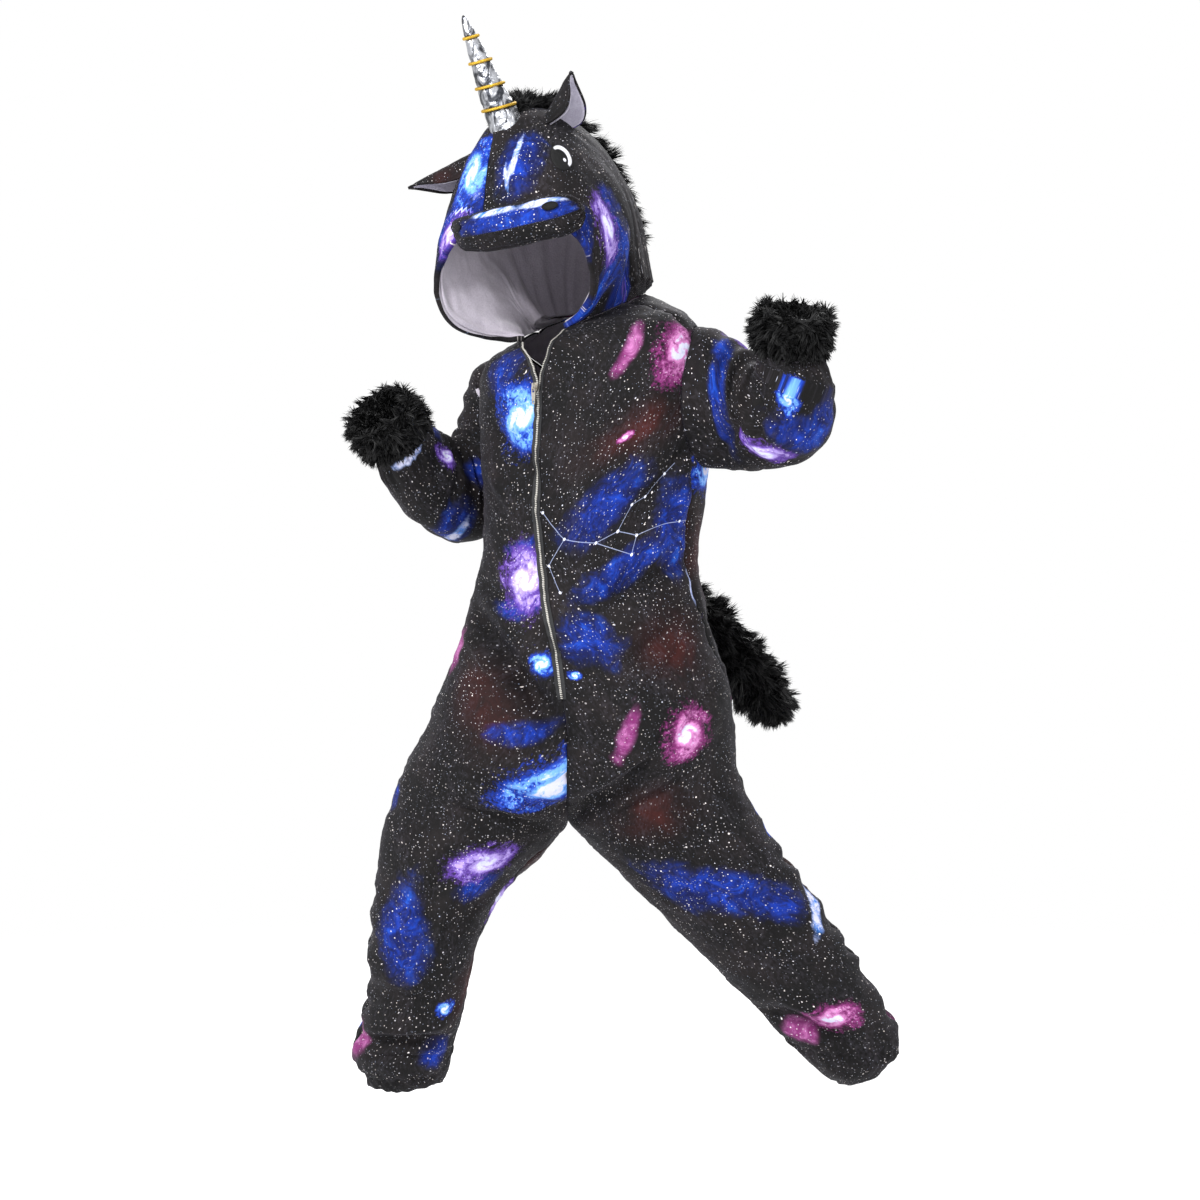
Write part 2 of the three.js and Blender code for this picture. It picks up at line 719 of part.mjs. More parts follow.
// The last row lies on the back half of the neck ring.
function hoodGrid(side) {
  const grid = archRows.map((row, i) => hoodRow(side, row, i / archRows.length));
  const columns = ARCH_COLUMNS + SKIRT_COLUMNS;
  const neck = [];
  for (let j = 0; j <= columns; j++) neck.push(neckPoint(side, (Math.PI / 2) * (1 - j / columns)));
  return [...grid, neck];
}

const hoodGrids = { [LEFT]: hoodGrid(LEFT), [RIGHT]: hoodGrid(RIGHT) };
const hoodNormals = (() => {
  const left = gridNormals(hoodGrids[LEFT]).map((row) => row.map((n) => n.negate()));
  const right = gridNormals(hoodGrids[RIGHT]);
  left.forEach((row, i) => {
    row[0].add(right[i][0]);
    right[i][0].copy(row[0]);
  });
  return { [LEFT]: unit(left), [RIGHT]: unit(right) };
})();

const hoodWalls = [...archRows.map((row) => row.wall), CLOTH];

function crownTrim(grid, side) {
  return grid.map((row) => {
    const trimmed = row.map((p) => p.clone());
    trimmed[0].addScaledVector(headLeft, side * SEAM);
    return trimmed;
  });
}

for (const [side, name] of [[LEFT, "left"], [RIGHT, "right"]]) {
  const grid = hoodGrids[side];
  const normals = hoodNormals[side];
  const layer = (depth) => {
    const moved = crownTrim(offset(grid, normals, hoodWalls.map((t) => -depth(t))), side);
    return side === LEFT ? moved.map((row) => row.reverse()) : moved;
  };
  const shell = wall(layer(() => 0), layer((t) => t));
  const space = solidOf(wall(layer(() => 0), layer((t) => t + GAP)));
  add(`hood_${name}`, cut(shell, trunkCutter), MATERIALS.plush);
  const near = layer((t) => t + LINING_GAP).slice(1, -2);
  const far = layer((t) => t + LINING_GAP + LINING).slice(1, -2);
  add(`hood_lining_${name}`, cut(wall(near, far), trunkCutter, space), MATERIALS.lining);
}

// The hood's outside as a filled solid, for cutting what is sewn on it
function hoodCore(clearance) {
  const rings = hoodGrids[LEFT].map((row, i) => {
    const left = offset([row], [hoodNormals[LEFT][i]], clearance)[0];
    const right = offset([hoodGrids[RIGHT][i]], [hoodNormals[RIGHT][i]], clearance)[0];
    return [...left.reverse(), ...right.slice(1)];
  });
  return loft(rings);
}

const hoodCutter = solidOf(hoodCore(GAP));

// Horn: a padded cone with four turns of cord, which leans back a little towards its tip

const HORN_BASE = { front: 24, up: 116 };
const HORN_LENGTH = 166;
const HORN_RADIUS = 24;
const HORN_TIP = 3;
const HORN_TAPER = 0.72;
const HORN_LEAN = 12;
const HORN_SHIFT = 2;
const HORN_BEND = 1.5;
const HORN_STEPS = 14;
const HORN_COLUMNS = 16;

function hornCentre(t) {
  const bend = HORN_SHIFT * (1 - 0.6 * t) - HORN_BEND * 4 * t * (1 - t);
  return headPoint(bend, HORN_BASE.front - HORN_LEAN * t, HORN_BASE.up + HORN_LENGTH * t);
}

function hornRadius(t) {
  return HORN_TIP + (HORN_RADIUS - HORN_TIP) * (1 - t) ** HORN_TAPER;
}

// The horn as a filled solid, a clearance larger all round
function hornCone(clearance) {
  const rings = [];
  for (let i = 0; i <= HORN_STEPS; i++) {
    const t = i / HORN_STEPS;
    const radius = hornRadius(t) + clearance;
    const across = headLeft.clone().multiplyScalar(radius);
    const deep = headFront.clone().multiplyScalar(radius);
    rings.push(ringAt(hornCentre(t), across, deep, HORN_COLUMNS));
  }
  return loft(rings);
}

// Cord: its radius, the slope of each turn, and the place of each along the horn
const CORD = 2;
const CORD_SLOPE = -0.17;
const CORD_LIFT = GAP + 0.5;
const CORD_SIDES = 6;
const CORD_TURNS = [0.28, 0.45, 0.64, 0.83];

add("horn", cut(hornCone(0), hoodCutter), MATERIALS.lame);
const hornCutter = solidOf(hornCone(GAP));
const cordSpace = solidOf(hornCone(CORD_LIFT + 2 * CORD + GAP));

CORD_TURNS.forEach((t, index) => {
  const rings = [];
  for (let j = 0; j < CORD_SIDES; j++) {
    const angle = (2 * Math.PI * j) / CORD_SIDES;
    const ring = [];
    for (let i = 0; i < HORN_COLUMNS; i++) {
      const turn = (2 * Math.PI * i) / HORN_COLUMNS;
      const tilt = (CORD_SLOPE * hornRadius(t) * Math.cos(turn)) / HORN_LENGTH;
      const place = t + tilt + (CORD * Math.sin(angle)) / HORN_LENGTH;
      const radius = hornRadius(t + tilt) + CORD_LIFT + CORD * (1 + Math.cos(angle));
      const [x, y] = [radius * Math.cos(turn), radius * Math.sin(turn)];
      ring.push(along(hornCentre(place), [headLeft, x], [headFront, y]));
    }
    rings.push(ring);
  }
  add(`horn_cord_${index + 1}`, cut(torus(rings), hornCutter, hoodCutter), MATERIALS.cord);
});

// Mane: a ridge of long pile over the crown seam, from behind the horn to the nape

const MANE = table("row width height", [
  [6.7, 18, 10],
  [7.3, 28, 18],
  [8, 32, 24],
  [9, 35, 27],
  [10.5, 36, 28],
  [12, 36, 28],
  [13.5, 34, 28],
  [15, 32, 27],
  [17, 28, 24],
  [18.5, 20, 18],
  [20, 9, 10],
]);
const MANE_SUNK = 5;
const MANE_COLUMNS = 12;
// The radius of the crown that the mane's foot is rounded to
const CROWN_RADIUS = 115;

function maneRings() {
  return MANE.map((row) => {
    const i = Math.min(Math.floor(row.row), archRows.length - 1);
    const share = row.row - i;
    const after = Math.min(i + 1, archRows.length);
    const seam = hoodGrids[LEFT][i][0].clone().lerp(hoodGrids[LEFT][after][0], share);
    const rising = hoodNormals[LEFT][i][0].clone().lerp(hoodNormals[LEFT][after][0], share);
    rising.normalize();
    const ring = [];
    for (let j = 0; j < MANE_COLUMNS; j++) {
      const angle = (2 * Math.PI * j) / MANE_COLUMNS;
      const sideways = row.width * Math.cos(angle);
      const lift = Math.sin(angle) > 0 ? row.height * Math.sin(angle) : -MANE_SUNK;
      const drop = sideways ** 2 / (2 * CROWN_RADIUS);
      ring.push(along(seam, [headLeft, sideways], [rising, lift - drop]));
    }
    return ring;
  });
}

add("mane", cut(loft(maneRings()), hoodCutter, cordSpace), MATERIALS.fur);

// Muzzle: a padded roll across the forehead, over the face opening

const MUZZLE = table("left front up deep high", [
  [-82, 104, 38, 8, 9],
  [-74, 114, 37, 17, 20],
  [-55, 127, 34, 23, 24],
  [-28, 136, 30, 26, 26],
  [0, 140, 25, 27, 27],
  [28, 136, 20, 26, 27],
  [55, 127, 15, 24, 27],
  [74, 114, 12, 18, 23],
  [83, 104, 11, 8, 11],
]);
const MUZZLE_COLUMNS = 14;

const muzzleRings = MUZZLE.map((row) => {
  const across = headFront.clone().multiplyScalar(row.deep);
  const high = headUp.clone().multiplyScalar(row.high);
  return ringAt(headPoint(row.left, row.front, row.up), across, high, MUZZLE_COLUMNS);
});
add("muzzle", cut(loft(muzzleRings), hoodCutter), MATERIALS.plush);
const muzzleCutter = solidOf(loft(offset(muzzleRings, outwardNormals(muzzleRings), GAP)));

// A flat oval patch that lies on a curved surface. surface(u, v) gives a point and its normal.
const PATCH_SIDES = 12;
const PATCH_LIFT = GAP + 0.3;

function patch(surface, centre, size, thickness) {
  const rings = [0.5, 1].map((share) => {
    const ring = [];
    for (let j = 0; j < PATCH_SIDES; j++) {
      const angle = (2 * Math.PI * j) / PATCH_SIDES;
      const u = centre.u + size.u * share * Math.cos(angle);
      ring.push(surface(u, centre.v + size.v * share * Math.sin(angle)));
    }
    return ring;
  });
  const lifted = (ring, height) => ring.map((s) => along(s.point, [s.normal, height]));
  const low = rings.map((ring) => lifted(ring, PATCH_LIFT));
  const high = rings.map((ring) => lifted(ring, PATCH_LIFT + thickness));
  return loft([low[0], low[1], high[1], high[0]]);
}

function gridSurface(grid, normals, wrapped = false) {
  return (u, v) => {
    const columns = grid[0].length;
    const i = Math.min(Math.max(Math.floor(u), 0), grid.length - 2);
    const j = wrapped ? Math.floor(v) : Math.min(Math.max(Math.floor(v), 0), columns - 2);
    const [s, t] = [u - i, v - j];
    const blend = (g) => {
      const at = (a, b) => g[a][((b % columns) + columns) % columns];
      const near = at(i, j).clone().lerp(at(i, j + 1), t);
      return near.lerp(at(i + 1, j).clone().lerp(at(i + 1, j + 1), t), s);
    };
    return { point: blend(grid), normal: blend(normals).normalize() };
  };
}

// Places and sizes of the patches, in rows (u) and columns (v) of the surface each is sewn on
const NOSTRIL = { u: 0.37, v: 0.5 };
const NOSTRIL_THICKNESS = 1.2;
const NOSTRILS = [
  ["nostril_left", { u: 6.3, v: 1.3 }],
  ["nostril_right", { u: 1.7, v: 1.3 }],
];
const EYE = { u: 0.95, v: 0.38 };
const EYE_THICKNESS = 1;
const EYE_PLACE = { u: 4.5, v: 2.7 };

const muzzleSurface = gridSurface(muzzleRings, outwardNormals(muzzleRings), true);
for (const [name, centre] of NOSTRILS) {
  add(name, patch(muzzleSurface, centre, NOSTRIL, NOSTRIL_THICKNESS), MATERIALS.embroidery);
}

for (const [side, name] of [[LEFT, "left"], [RIGHT, "right"]]) {
  const surface = gridSurface(hoodGrids[side], hoodNormals[side]);
  const oval = patch(surface, EYE_PLACE, EYE, EYE_THICKNESS);
  add(`eye_${name}`, cut(oval, hoodCutter), MATERIALS.embroidery);
}

// Ears: leaf-shaped and cupped, each of an outer layer and a lining

const EAR_SHAPE = table("along width cup", [
  [-0.12, 0.32, 0.506],
  [0.12, 0.42, 0.87],
  [0.35, 0.45, 1],
  [0.6, 0.4, 0.79],
  [0.82, 0.26, 0.334],
  [0.95, 0.12, 0.071],
  [1, 0.04, 0.008],
]);

// The left ear stands up and the right one droops sideways.
const EARS = {
  [LEFT]: {
    base: headPoint(43, -2, 130),
    point: vec(0.5, -0.1, 0.85),
    wide: vec(0.55, 0.83, 0),
    length: 64,
    width: 0.85,
    cup: 36,
  },
  [RIGHT]: {
    base: headPoint(-52, 10, 126),
    point: vec(-0.86, -0.1, -0.48),
    wide: vec(0.1, -0.93, 0.33),
    length: 98,
    width: 0.5,
    cup: 30,
  },
};
const EAR_HALF_COLUMNS = 5;
const EAR_LINING_SCALE = 0.93;

function earGrid(ear, depth, scale) {
  const point = ear.point.clone().normalize();
  const wide = ear.wide.clone().addScaledVector(point, -ear.wide.dot(point)).normalize();
  const hollow = wide.clone().cross(point);
  const leaf = EAR_SHAPE.map((row) => {
    const middle = along(ear.base, [point, row.along * ear.length * scale]);
    const points = [];
    for (let j = -EAR_HALF_COLUMNS; j <= EAR_HALF_COLUMNS; j++) {
      const share = j / EAR_HALF_COLUMNS;
      const sideways = row.width * ear.width * ear.length * share * scale;
      points.push(along(middle, [wide, sideways], [hollow, row.cup * ear.cup * share * share]));
    }
    return points;
  });
  const normals = gridNormals(leaf);
  const inward = Math.sign(normals[2][EAR_HALF_COLUMNS].dot(hollow));
  return offset(leaf, unit(normals), inward * depth);
}

for (const [side, name] of [[LEFT, "left"], [RIGHT, "right"]]) {
  const ear = EARS[side];
  const shell = wall(earGrid(ear, 0, 1), earGrid(ear, CLOTH, 1));
  const layer = (depth) => earGrid(ear, depth, EAR_LINING_SCALE);
  const lining = wall(layer(CLOTH + GAP), layer(CLOTH + GAP + LINING));
  add(`ear_${name}`, cut(shell, hoodCutter), MATERIALS.plush);
  add(`ear_${name}_lining`, cut(lining, hoodCutter), MATERIALS.lining);
}

// Tail: a padded roll of long pile from the centre back seam

const TAIL = table("x y z radius", [
  [62, 84, -284, 32],
  [88, 112, -298, 38],
  [118, 134, -318, 42],
  [152, 150, -347, 44],
  [188, 162, -383, 45],
  [222, 170, -420, 43],
  [250, 174, -453, 37],
  [269, 174, -479, 27],
  [279, 172, -495, 12],
]);

const TAIL_COLUMNS = 14;

const tailRings = TAIL.map((row, i) => {
  const centre = (k) => {
    const near = TAIL[Math.min(Math.max(k, 0), TAIL.length - 1)];
    return vec(near.x, near.y, near.z);
  };
  const travel = centre(i + 1).sub(centre(i - 1));
  const across = travel.clone().cross(vec(0, 1, 0)).normalize();
  const deep = travel.cross(across).normalize().multiplyScalar(row.radius);
  return ringAt(centre(i), across.multiplyScalar(row.radius), deep, TAIL_COLUMNS);
});
add("tail", cut(loft(tailRings), trunkCutter), MATERIALS.fur);

// Zip: tape and chain along both front edges, closed below the slider

const ZIP_END = -450;
const TAPE = { width: 6, thickness: 1.5, lift: 0.6 };

function zipStrip(side) {
  const rows = bodyGrid[side].slice(0, rowsAbove(ZIP_END));
  const layers = [TAPE.lift, TAPE.lift + TAPE.thickness].map((height) =>
    rows.map((row, i) => {
      const inward = row[1].clone().sub(row[0]).normalize();
      const normal = normalsOfBody[side][i][0];
      const raised = along(row[0], [normal, height]);
      raised.x += side * SEAM;
      return [raised, along(raised, [inward, TAPE.width])];
    }),
  );
  return wall(layers[1].slice(1), layers[0].slice(1));
}

for (const [side, name] of [[LEFT, "left"], [RIGHT, "right"]]) {
  const panelSpace = solidOf(bodyPanel(side, 0, HALF_COLUMNS, GAP));
  add(`zip_${name}`, cut(zipStrip(side), panelSpace), MATERIALS.tape);
}

// Slider: seated on the tapes where they meet, with a bridge that the pull tab hangs from

const SLIDER_TOP = -60;
const SLIDER_ROW = rowsAbove(SLIDER_TOP);
const SLIDER_SEAT = TAPE.lift + TAPE.thickness + GAP + 0.1;
const SLIDER = { half: 4.2, foot: 2.8, top: 4.5, bottom: -5.2, thickness: 3.2 };
// The bridge is sunk into the slider's body, so that the two are one piece.
const BRIDGE = { low: -4, high: 3.4, rise: 5, post: 1.2, skin: 0.9, half: 1.1, sunk: 0.3 };
// The pull tab: a tapered plate with a slot for the bridge's bar, chamfered corners and a hole
const PULL = { half: 3.1, endHalf: 2.4, length: 21, thickness: 1.4, bar: 0.8, slotHalf: 1.7 };
const PULL_SLOT_END = -6.2;
const PULL_SHOULDER = -8.2;
const PULL_CHAMFER = 2;
const PULL_HOLE = { place: -17.6, radius: 1.3 };
const PULL_CLEARANCE = 0.4;
const BAR_HEIGHT = SLIDER_SEAT + SLIDER.thickness + BRIDGE.rise / 2;
const BAR_PLACE = BRIDGE.low + BRIDGE.post + PULL.bar + PULL_CLEARANCE;

function sliderFrame() {
  const at = (i) => bodyGrid[LEFT][i][0].clone().lerp(bodyGrid[RIGHT][i][0], 0.5);
  const origin = at(SLIDER_ROW);
  const out = normalsOfBody[LEFT][SLIDER_ROW][0].clone();
  const up = at(SLIDER_ROW - 1).sub(at(SLIDER_ROW + 1)).normalize();
  const side = up.clone().cross(out).normalize();
  return { origin, side, up: out.clone().cross(side), out };
}

function outline(points, hole) {
  const shape = new THREE.Shape(points.map(([x, y]) => new THREE.Vector2(x, y)));
  if (hole) shape.holes.push(new THREE.Path(hole.map(([x, y]) => new THREE.Vector2(x, y))));
  return shape;
}

// A plate: an outline in the directions x and y, from low to high along their cross product
function plate(shape, low, high, origin, x, y) {
  const geometry = new THREE.ExtrudeGeometry(shape, { depth: high - low, bevelEnabled: false });
  const z = x.clone().cross(y);
  const frame = new THREE.Matrix4().makeBasis(x, y, z);
  frame.setPosition(along(origin, [z, low]));
  return geometry.applyMatrix4(frame);
}

const slider = sliderFrame();

function sliderSolid() {
  const { half, foot, top, bottom, thickness } = SLIDER;
  const corners = [[-half, top], [-half, 0], [-foot, bottom], [foot, bottom], [half, 0], [half, top]];
  const base = SLIDER_SEAT;
  const body = plate(outline(corners), base, base + thickness, slider.origin, slider.side, slider.up);
  const floor = base + thickness;
  const [near, far] = [floor - BRIDGE.sunk, floor + BRIDGE.rise];
  const frame = [[BRIDGE.low, near], [BRIDGE.high, near], [BRIDGE.high, far], [BRIDGE.low, far]];
  const window = [
    [BRIDGE.low + BRIDGE.post, floor + BRIDGE.skin],
    [BRIDGE.low + BRIDGE.post, far - BRIDGE.skin],
    [BRIDGE.high - BRIDGE.post, far - BRIDGE.skin],
    [BRIDGE.high - BRIDGE.post, floor + BRIDGE.skin],
  ];
  const arch = outline(frame, window);
  const bridge = plate(arch, -BRIDGE.half, BRIDGE.half, slider.origin, slider.up, slider.out);
  return solidOf(body).add(solidOf(bridge));
}

const pullPivot = along(slider.origin, [slider.out, BAR_HEIGHT], [slider.up, BAR_PLACE]);
const pullOut = vec(slider.out.x, slider.out.y, 0).normalize();
const plumb = vec(0, 0, 1);
const pullSide = plumb.clone().cross(pullOut);

function pullSolid() {
  const { half, endHalf, length, thickness, bar, slotHalf } = PULL;
  const corners = [
    [-half, bar],
    [-half, PULL_SHOULDER],
    [-endHalf, PULL_CHAMFER - length],
    [PULL_CHAMFER / 2 - endHalf, -length],
    [endHalf - PULL_CHAMFER / 2, -length],
    [endHalf, PULL_CHAMFER - length],
    [half, PULL_SHOULDER],
    [half, bar],
  ];
  const slot = [
    [-slotHalf, -bar],
    [slotHalf, -bar],
    [slotHalf, PULL_SLOT_END],
    [-slotHalf, PULL_SLOT_END],
  ];
  const shape = outline(corners, slot);
  const hole = new THREE.Path();
  hole.absarc(0, PULL_HOLE.place, PULL_HOLE.radius, 0, 2 * Math.PI, true);
  shape.holes.push(hole);
  return plate(shape, -thickness / 2, thickness / 2, pullPivot, pullSide, plumb);
}

add("zip_slider", geometryFrom(sliderSolid()), MATERIALS.metal);
add("zip_pull", pullSolid(), MATERIALS.metal);

export default onesie;
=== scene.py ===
"""Dress a child's hooded plush onesie: printed plush, lining, long pile, horn, ears and zip.

Shapes are worked out in millimetres in the packed model's own frame and written in metres.
"""

from __future__ import annotations

import logging
import math
from collections.abc import Callable, Sequence
from dataclasses import dataclass, field
from enum import Enum
from typing import Any

import bmesh
import bpy
import numpy as np
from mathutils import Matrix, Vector
from mathutils.kdtree import KDTree


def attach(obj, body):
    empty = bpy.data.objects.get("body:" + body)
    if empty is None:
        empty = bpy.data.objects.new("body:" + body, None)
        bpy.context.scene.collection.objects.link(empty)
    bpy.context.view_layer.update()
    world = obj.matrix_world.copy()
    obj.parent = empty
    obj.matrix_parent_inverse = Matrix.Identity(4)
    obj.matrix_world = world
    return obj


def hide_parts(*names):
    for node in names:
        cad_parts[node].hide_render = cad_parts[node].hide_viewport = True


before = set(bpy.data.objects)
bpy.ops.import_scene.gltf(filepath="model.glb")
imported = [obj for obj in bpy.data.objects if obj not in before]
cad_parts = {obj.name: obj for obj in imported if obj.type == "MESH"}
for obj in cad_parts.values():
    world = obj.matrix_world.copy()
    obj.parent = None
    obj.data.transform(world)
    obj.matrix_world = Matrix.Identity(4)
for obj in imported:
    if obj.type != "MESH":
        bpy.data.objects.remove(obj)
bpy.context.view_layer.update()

log = logging.getLogger("onesie")

Array = np.ndarray
Material = bpy.types.Material
Piece = bpy.types.Object
Socket = bpy.types.NodeSocket

# Thicknesses and gaps in millimetres, and how far long pile hangs down

METRES = 0.001
CLOTH = 2.4
LINING = 1.6
GAP = 0.3
HANG = np.array([0, 0, 0.2])
LINING_GAP = 0.6
SEAM = 0.15


class Side(Enum):
    """The wearer's own sides, and the sign of each along X."""

    LEFT = 1
    RIGHT = -1

    @property
    def word(self) -> str:
        """The side's name as it stands in node names."""
        return self.name.lower()


class Held(Enum):
    """How a sheet of cloth is held, in the frame's own words."""

    DRAPED = "draped"
    GATHERED = "gathered"
    STRETCHED = "stretched"


class Dye(Enum):
    """The colours of a printed galaxy, as a place between blue and magenta."""

    BLUE = 0.0
    LILAC = 0.5
    MAGENTA = 1.0


class Haze(Enum):
    """The kinds of printed cloud, each a channel of the cloud attribute."""

    BLUE = 0
    PINK = 1
    WHITE = 2
    EMBER = 3


class Table:
    """Rows of numbers under named columns."""

    def __init__(self, columns: str, rows: Sequence[Sequence[float]]) -> None:
        """Keep the rows.

        Args:
            columns: The columns' names, with spaces between them.
            rows: A list of numbers for each row.
        """
        self.names = columns.split()
        self.rows = np.array(rows, dtype=float)

    def __getitem__(self, name: str) -> Array:
        """Take a column by name."""
        return self.rows[:, self.names.index(name)]

    def points(self, names: str) -> Array:
        """Take several columns side by side."""
        return np.stack([self[name] for name in names.split()], axis=1)


# The printed constellation, as lines between places on the flat cloth

CONSTELLATION = Table("x0 y0 x1 y1", [
    [-197.0, -237.1, -167.5, -275.9], [-167.5, -275.9, -128.5, -300.3],
    [-128.5, -300.3, -101.1, -303.4], [-101.1, -303.4, -84.4, -282.0],
    [-84.4, -282.0, -66.2, -282.4], [-66.2, -282.4, -39.3, -266.8],
    [-39.3, -266.8, -26.1, -257.7], [-101.1, -303.4, -78.0, -322.0],
    [-78.0, -322.0, -21.5, -328.8], [-21.5, -328.8, 0.0, -333.6],
    [-86.6, -340.4, -78.0, -322.0], [-86.6, -340.4, -128.5, -300.3],
    [-193.1, -302.6, -167.5, -275.9], [-190.7, -337.4, -193.1, -302.6],
])

# Three sizes of stars: cells in a metre, their radius in a cell, and the share of cells without one

STARS = Table("scale radius share", [[230.0, 0.14, 0.6], [105.0, 0.1, 0.55], [36.0, 0.05, 0.6]])


# Shader building


def linear(colour: str) -> tuple[float, float, float, float]:
    """Turn a hex colour into linear values.

    Args:
        colour: Six hex digits, with or without a leading #.

    Returns:
        Red, green, blue and alpha, from 0 to 1.
    """
    digits = colour.lstrip("#")
    parts = [int(digits[i:i + 2], 16) / 255 for i in (0, 2, 4)]
    red, green, blue = [c / 12.92 if c <= 0.04045 else ((c + 0.055) / 1.055) ** 2.4 for c in parts]
    return (red, green, blue, 1.0)


def operator(operation: str, summary: str, swapped: bool = False) -> Callable[[Value, Any], Value]:
    """Make an operator of two values.

    Args:
        operation: The Math node's operation.
        summary: What the operator does.
        swapped: Whether the other value comes first.

    Returns:
        The operator.
    """
    def apply(self: Value, other: Any) -> Value:
        """Add the node."""
        return self._math(operation, *((other, self) if swapped else (self, other)))

    apply.__doc__ = summary
    return apply


class Value:
    """A number socket that Python's own arithmetic works on."""

    def __init__(self, finish: Finish, socket: Socket) -> None:
        """Keep the socket and the finish that new nodes go in."""
        self.finish = finish
        self.socket = socket

    def _math(self, operation: str, *values: Any) -> Value:
        """Add one Math node.

        Args:
            operation: The node's operation.
            *values: Numbers, values or sockets, in the node's order.

        Returns:
            The node's result.
        """
        node = self.finish.node("Math", {"operation": operation}, dict(enumerate(values)))
        return Value(self.finish, node.outputs[0])

    __add__ = __radd__ = operator("ADD", "Add.")
    __sub__ = operator("SUBTRACT", "Subtract.")
    __rsub__ = operator("SUBTRACT", "Subtract this from another.", swapped=True)
    __mul__ = __rmul__ = operator("MULTIPLY", "Multiply.")
    __rtruediv__ = operator("DIVIDE", "Divide another by this.", swapped=True)
    __pow__ = operator("POWER", "Raise to a power.")
    __gt__ = operator("GREATER_THAN", "One where this is larger, and zero elsewhere.")
    most = operator("MAXIMUM", "Take the larger of two.")
    least = operator("MINIMUM", "Take the smaller of two.")
    angle = operator("ARCTAN2", "Take the angle of the point (other, this).")

    def cosine(self) -> Value:
        """Take the cosine of this angle in radians."""
        return self._math("COSINE", self)

    def logarithm(self) -> Value:
        """Take the natural logarithm."""
        return self._math("LOGARITHM", self, math.e)

    def root(self) -> Value:
        """Take the square root."""
        return self._math("SQRT", self)

    def soft_step(self, low: float, high: float) -> Value:
        """Rise smoothly from 0 at low to 1 at high.

        Args:
            low: The value that gives 0.
            high: The value that gives 1, which may be less than low.

        Returns:
            The step, from 0 to 1.
        """
        settings = {"interpolation_type": "SMOOTHSTEP", "clamp": True}
        upward = low < high
        ends = {0: self, 1: min(low, high), 2: max(low, high), 3: float(not upward), 4: float(upward)}
        return Value(self.finish, self.finish.node("MapRange", settings, ends).outputs[0])


class Finish:
    """A material that is built from nodes, with a Principled shader at its end."""

    def __init__(self, name: str) -> None:
        """Make an empty material with its shader and output.

        Args:
            name: The material's name.
        """
        self.material = bpy.data.materials.new(name)
        self.material.use_nodes = True
        self.tree = self.material.node_tree
        self.tree.nodes.clear()
        self.shader = self.node("BsdfPrincipled")
        self.node("OutputMaterial", {}, {"Surface": self.shader.outputs[0]})

    def node(
        self,
        kind: str,
        settings: dict[str, Any] | None = None,
        sockets: dict[str | int, Any] | None = None,
    ) -> bpy.types.Node:
        """Add a node, set it up and fill its sockets.

        Args:
            kind: The node's type without its ShaderNode prefix.
            settings: The node's own settings.
            sockets: Values, sockets or plain numbers by the input's name or place.

        Returns:
            The new node.
        """
        node = self.tree.nodes.new(f"ShaderNode{kind}")
        for key, value in (settings or {}).items():
            setattr(node, key, value)
        for key, value in (sockets or {}).items():
            self.fill(node.inputs[key], value)
        return node

    def fill(self, target: Socket, value: Any) -> None:
        """Link a value or socket to an input, or set it to a number or colour.

        Args:
            target: The input.
            value: What goes in it.
        """
        if isinstance(value, Value):
            value = value.socket
        if isinstance(value, Socket):
            self.tree.links.new(value, target)
        else:
            target.default_value = value

    def value(self, socket: Socket) -> Value:
        """Wrap a socket for arithmetic."""
        return Value(self, socket)

    def mix(self, share: Any, first: Any, second: Any) -> Socket:
        """Mix two colours.

        Args:
            share: How much of the second colour there is.
            first: A hex colour or a socket.
            second: A hex colour or a socket.

        Returns:
            The mixed colour.
        """
        first, second = (linear(v) if isinstance(v, str) else v for v in (first, second))
        settings = {"data_type": "RGBA", "clamp_factor": True}
        return self.node("Mix", settings, {0: share, 6: first, 7: second}).outputs[2]

    def scaled(self, vector: Any, scale: tuple[float, float, float]) -> Socket:
        """Scale a vector along each axis."""
        sockets = {0: vector, 1: scale}
        return self.node("VectorMath", {"operation": "MULTIPLY"}, sockets).outputs[0]

    def noise(self, vector: Any, scale: float, detail: float = 2.0, rough: float = 0.5,
              twist: float = 0.0) -> Value:
        """Sample smooth noise.

        Args:
            vector: Where it is sampled, in metres.
            scale: Waves in a metre.
            detail: Octaves.
            rough: How strong the finer octaves are.
            twist: How far the noise distorts itself.

        Returns:
            The noise, around one half.
        """
        sockets = {"Vector": vector, "Scale": scale, "Detail": detail, "Roughness": rough,
                   "Distortion": twist}
        return self.value(self.node("TexNoise", {}, sockets).outputs[0])

    def attribute(self, name: str) -> bpy.types.Node:
        """Read a mesh attribute."""
        return self.node("Attribute", {"attribute_type": "GEOMETRY", "attribute_name": name})

    def number(self, name: str) -> Value:
        """Read a mesh attribute of one number."""
        return self.value(self.attribute(name).outputs["Fac"])

    def place(self) -> Socket:
        """Read the point's own place on the part, in metres."""
        return self.node("TexCoord").outputs["Object"]

    def split(self, vector: Any) -> tuple[Value, Value, Value]:
        """Split a vector into its three numbers."""
        node = self.node("SeparateXYZ", {}, {0: vector})
        return tuple(self.value(node.outputs[i]) for i in range(3))

    def bump(self, height: Value, depth: float, strength: float = 1.0) -> None:
        """Raise the surface by a height field.

        Args:
            height: The field, from 0 to 1.
            depth: What a height of 1 stands for, in metres.
            strength: How much of the effect shows.
        """
        sockets = {"Height": height, "Distance": depth, "Strength": strength}
        self.wire(Normal=self.node("Bump", {}, sockets).outputs[0])

    def wire(self, **sockets: Any) -> None:
        """Fill the shader's own sockets, whose names have underscores for spaces.

        Args:
            **sockets: A value, socket, number or colour for each.
        """
        for key, value in sockets.items():
            self.fill(self.shader.inputs[key.replace("_", " ")], value)


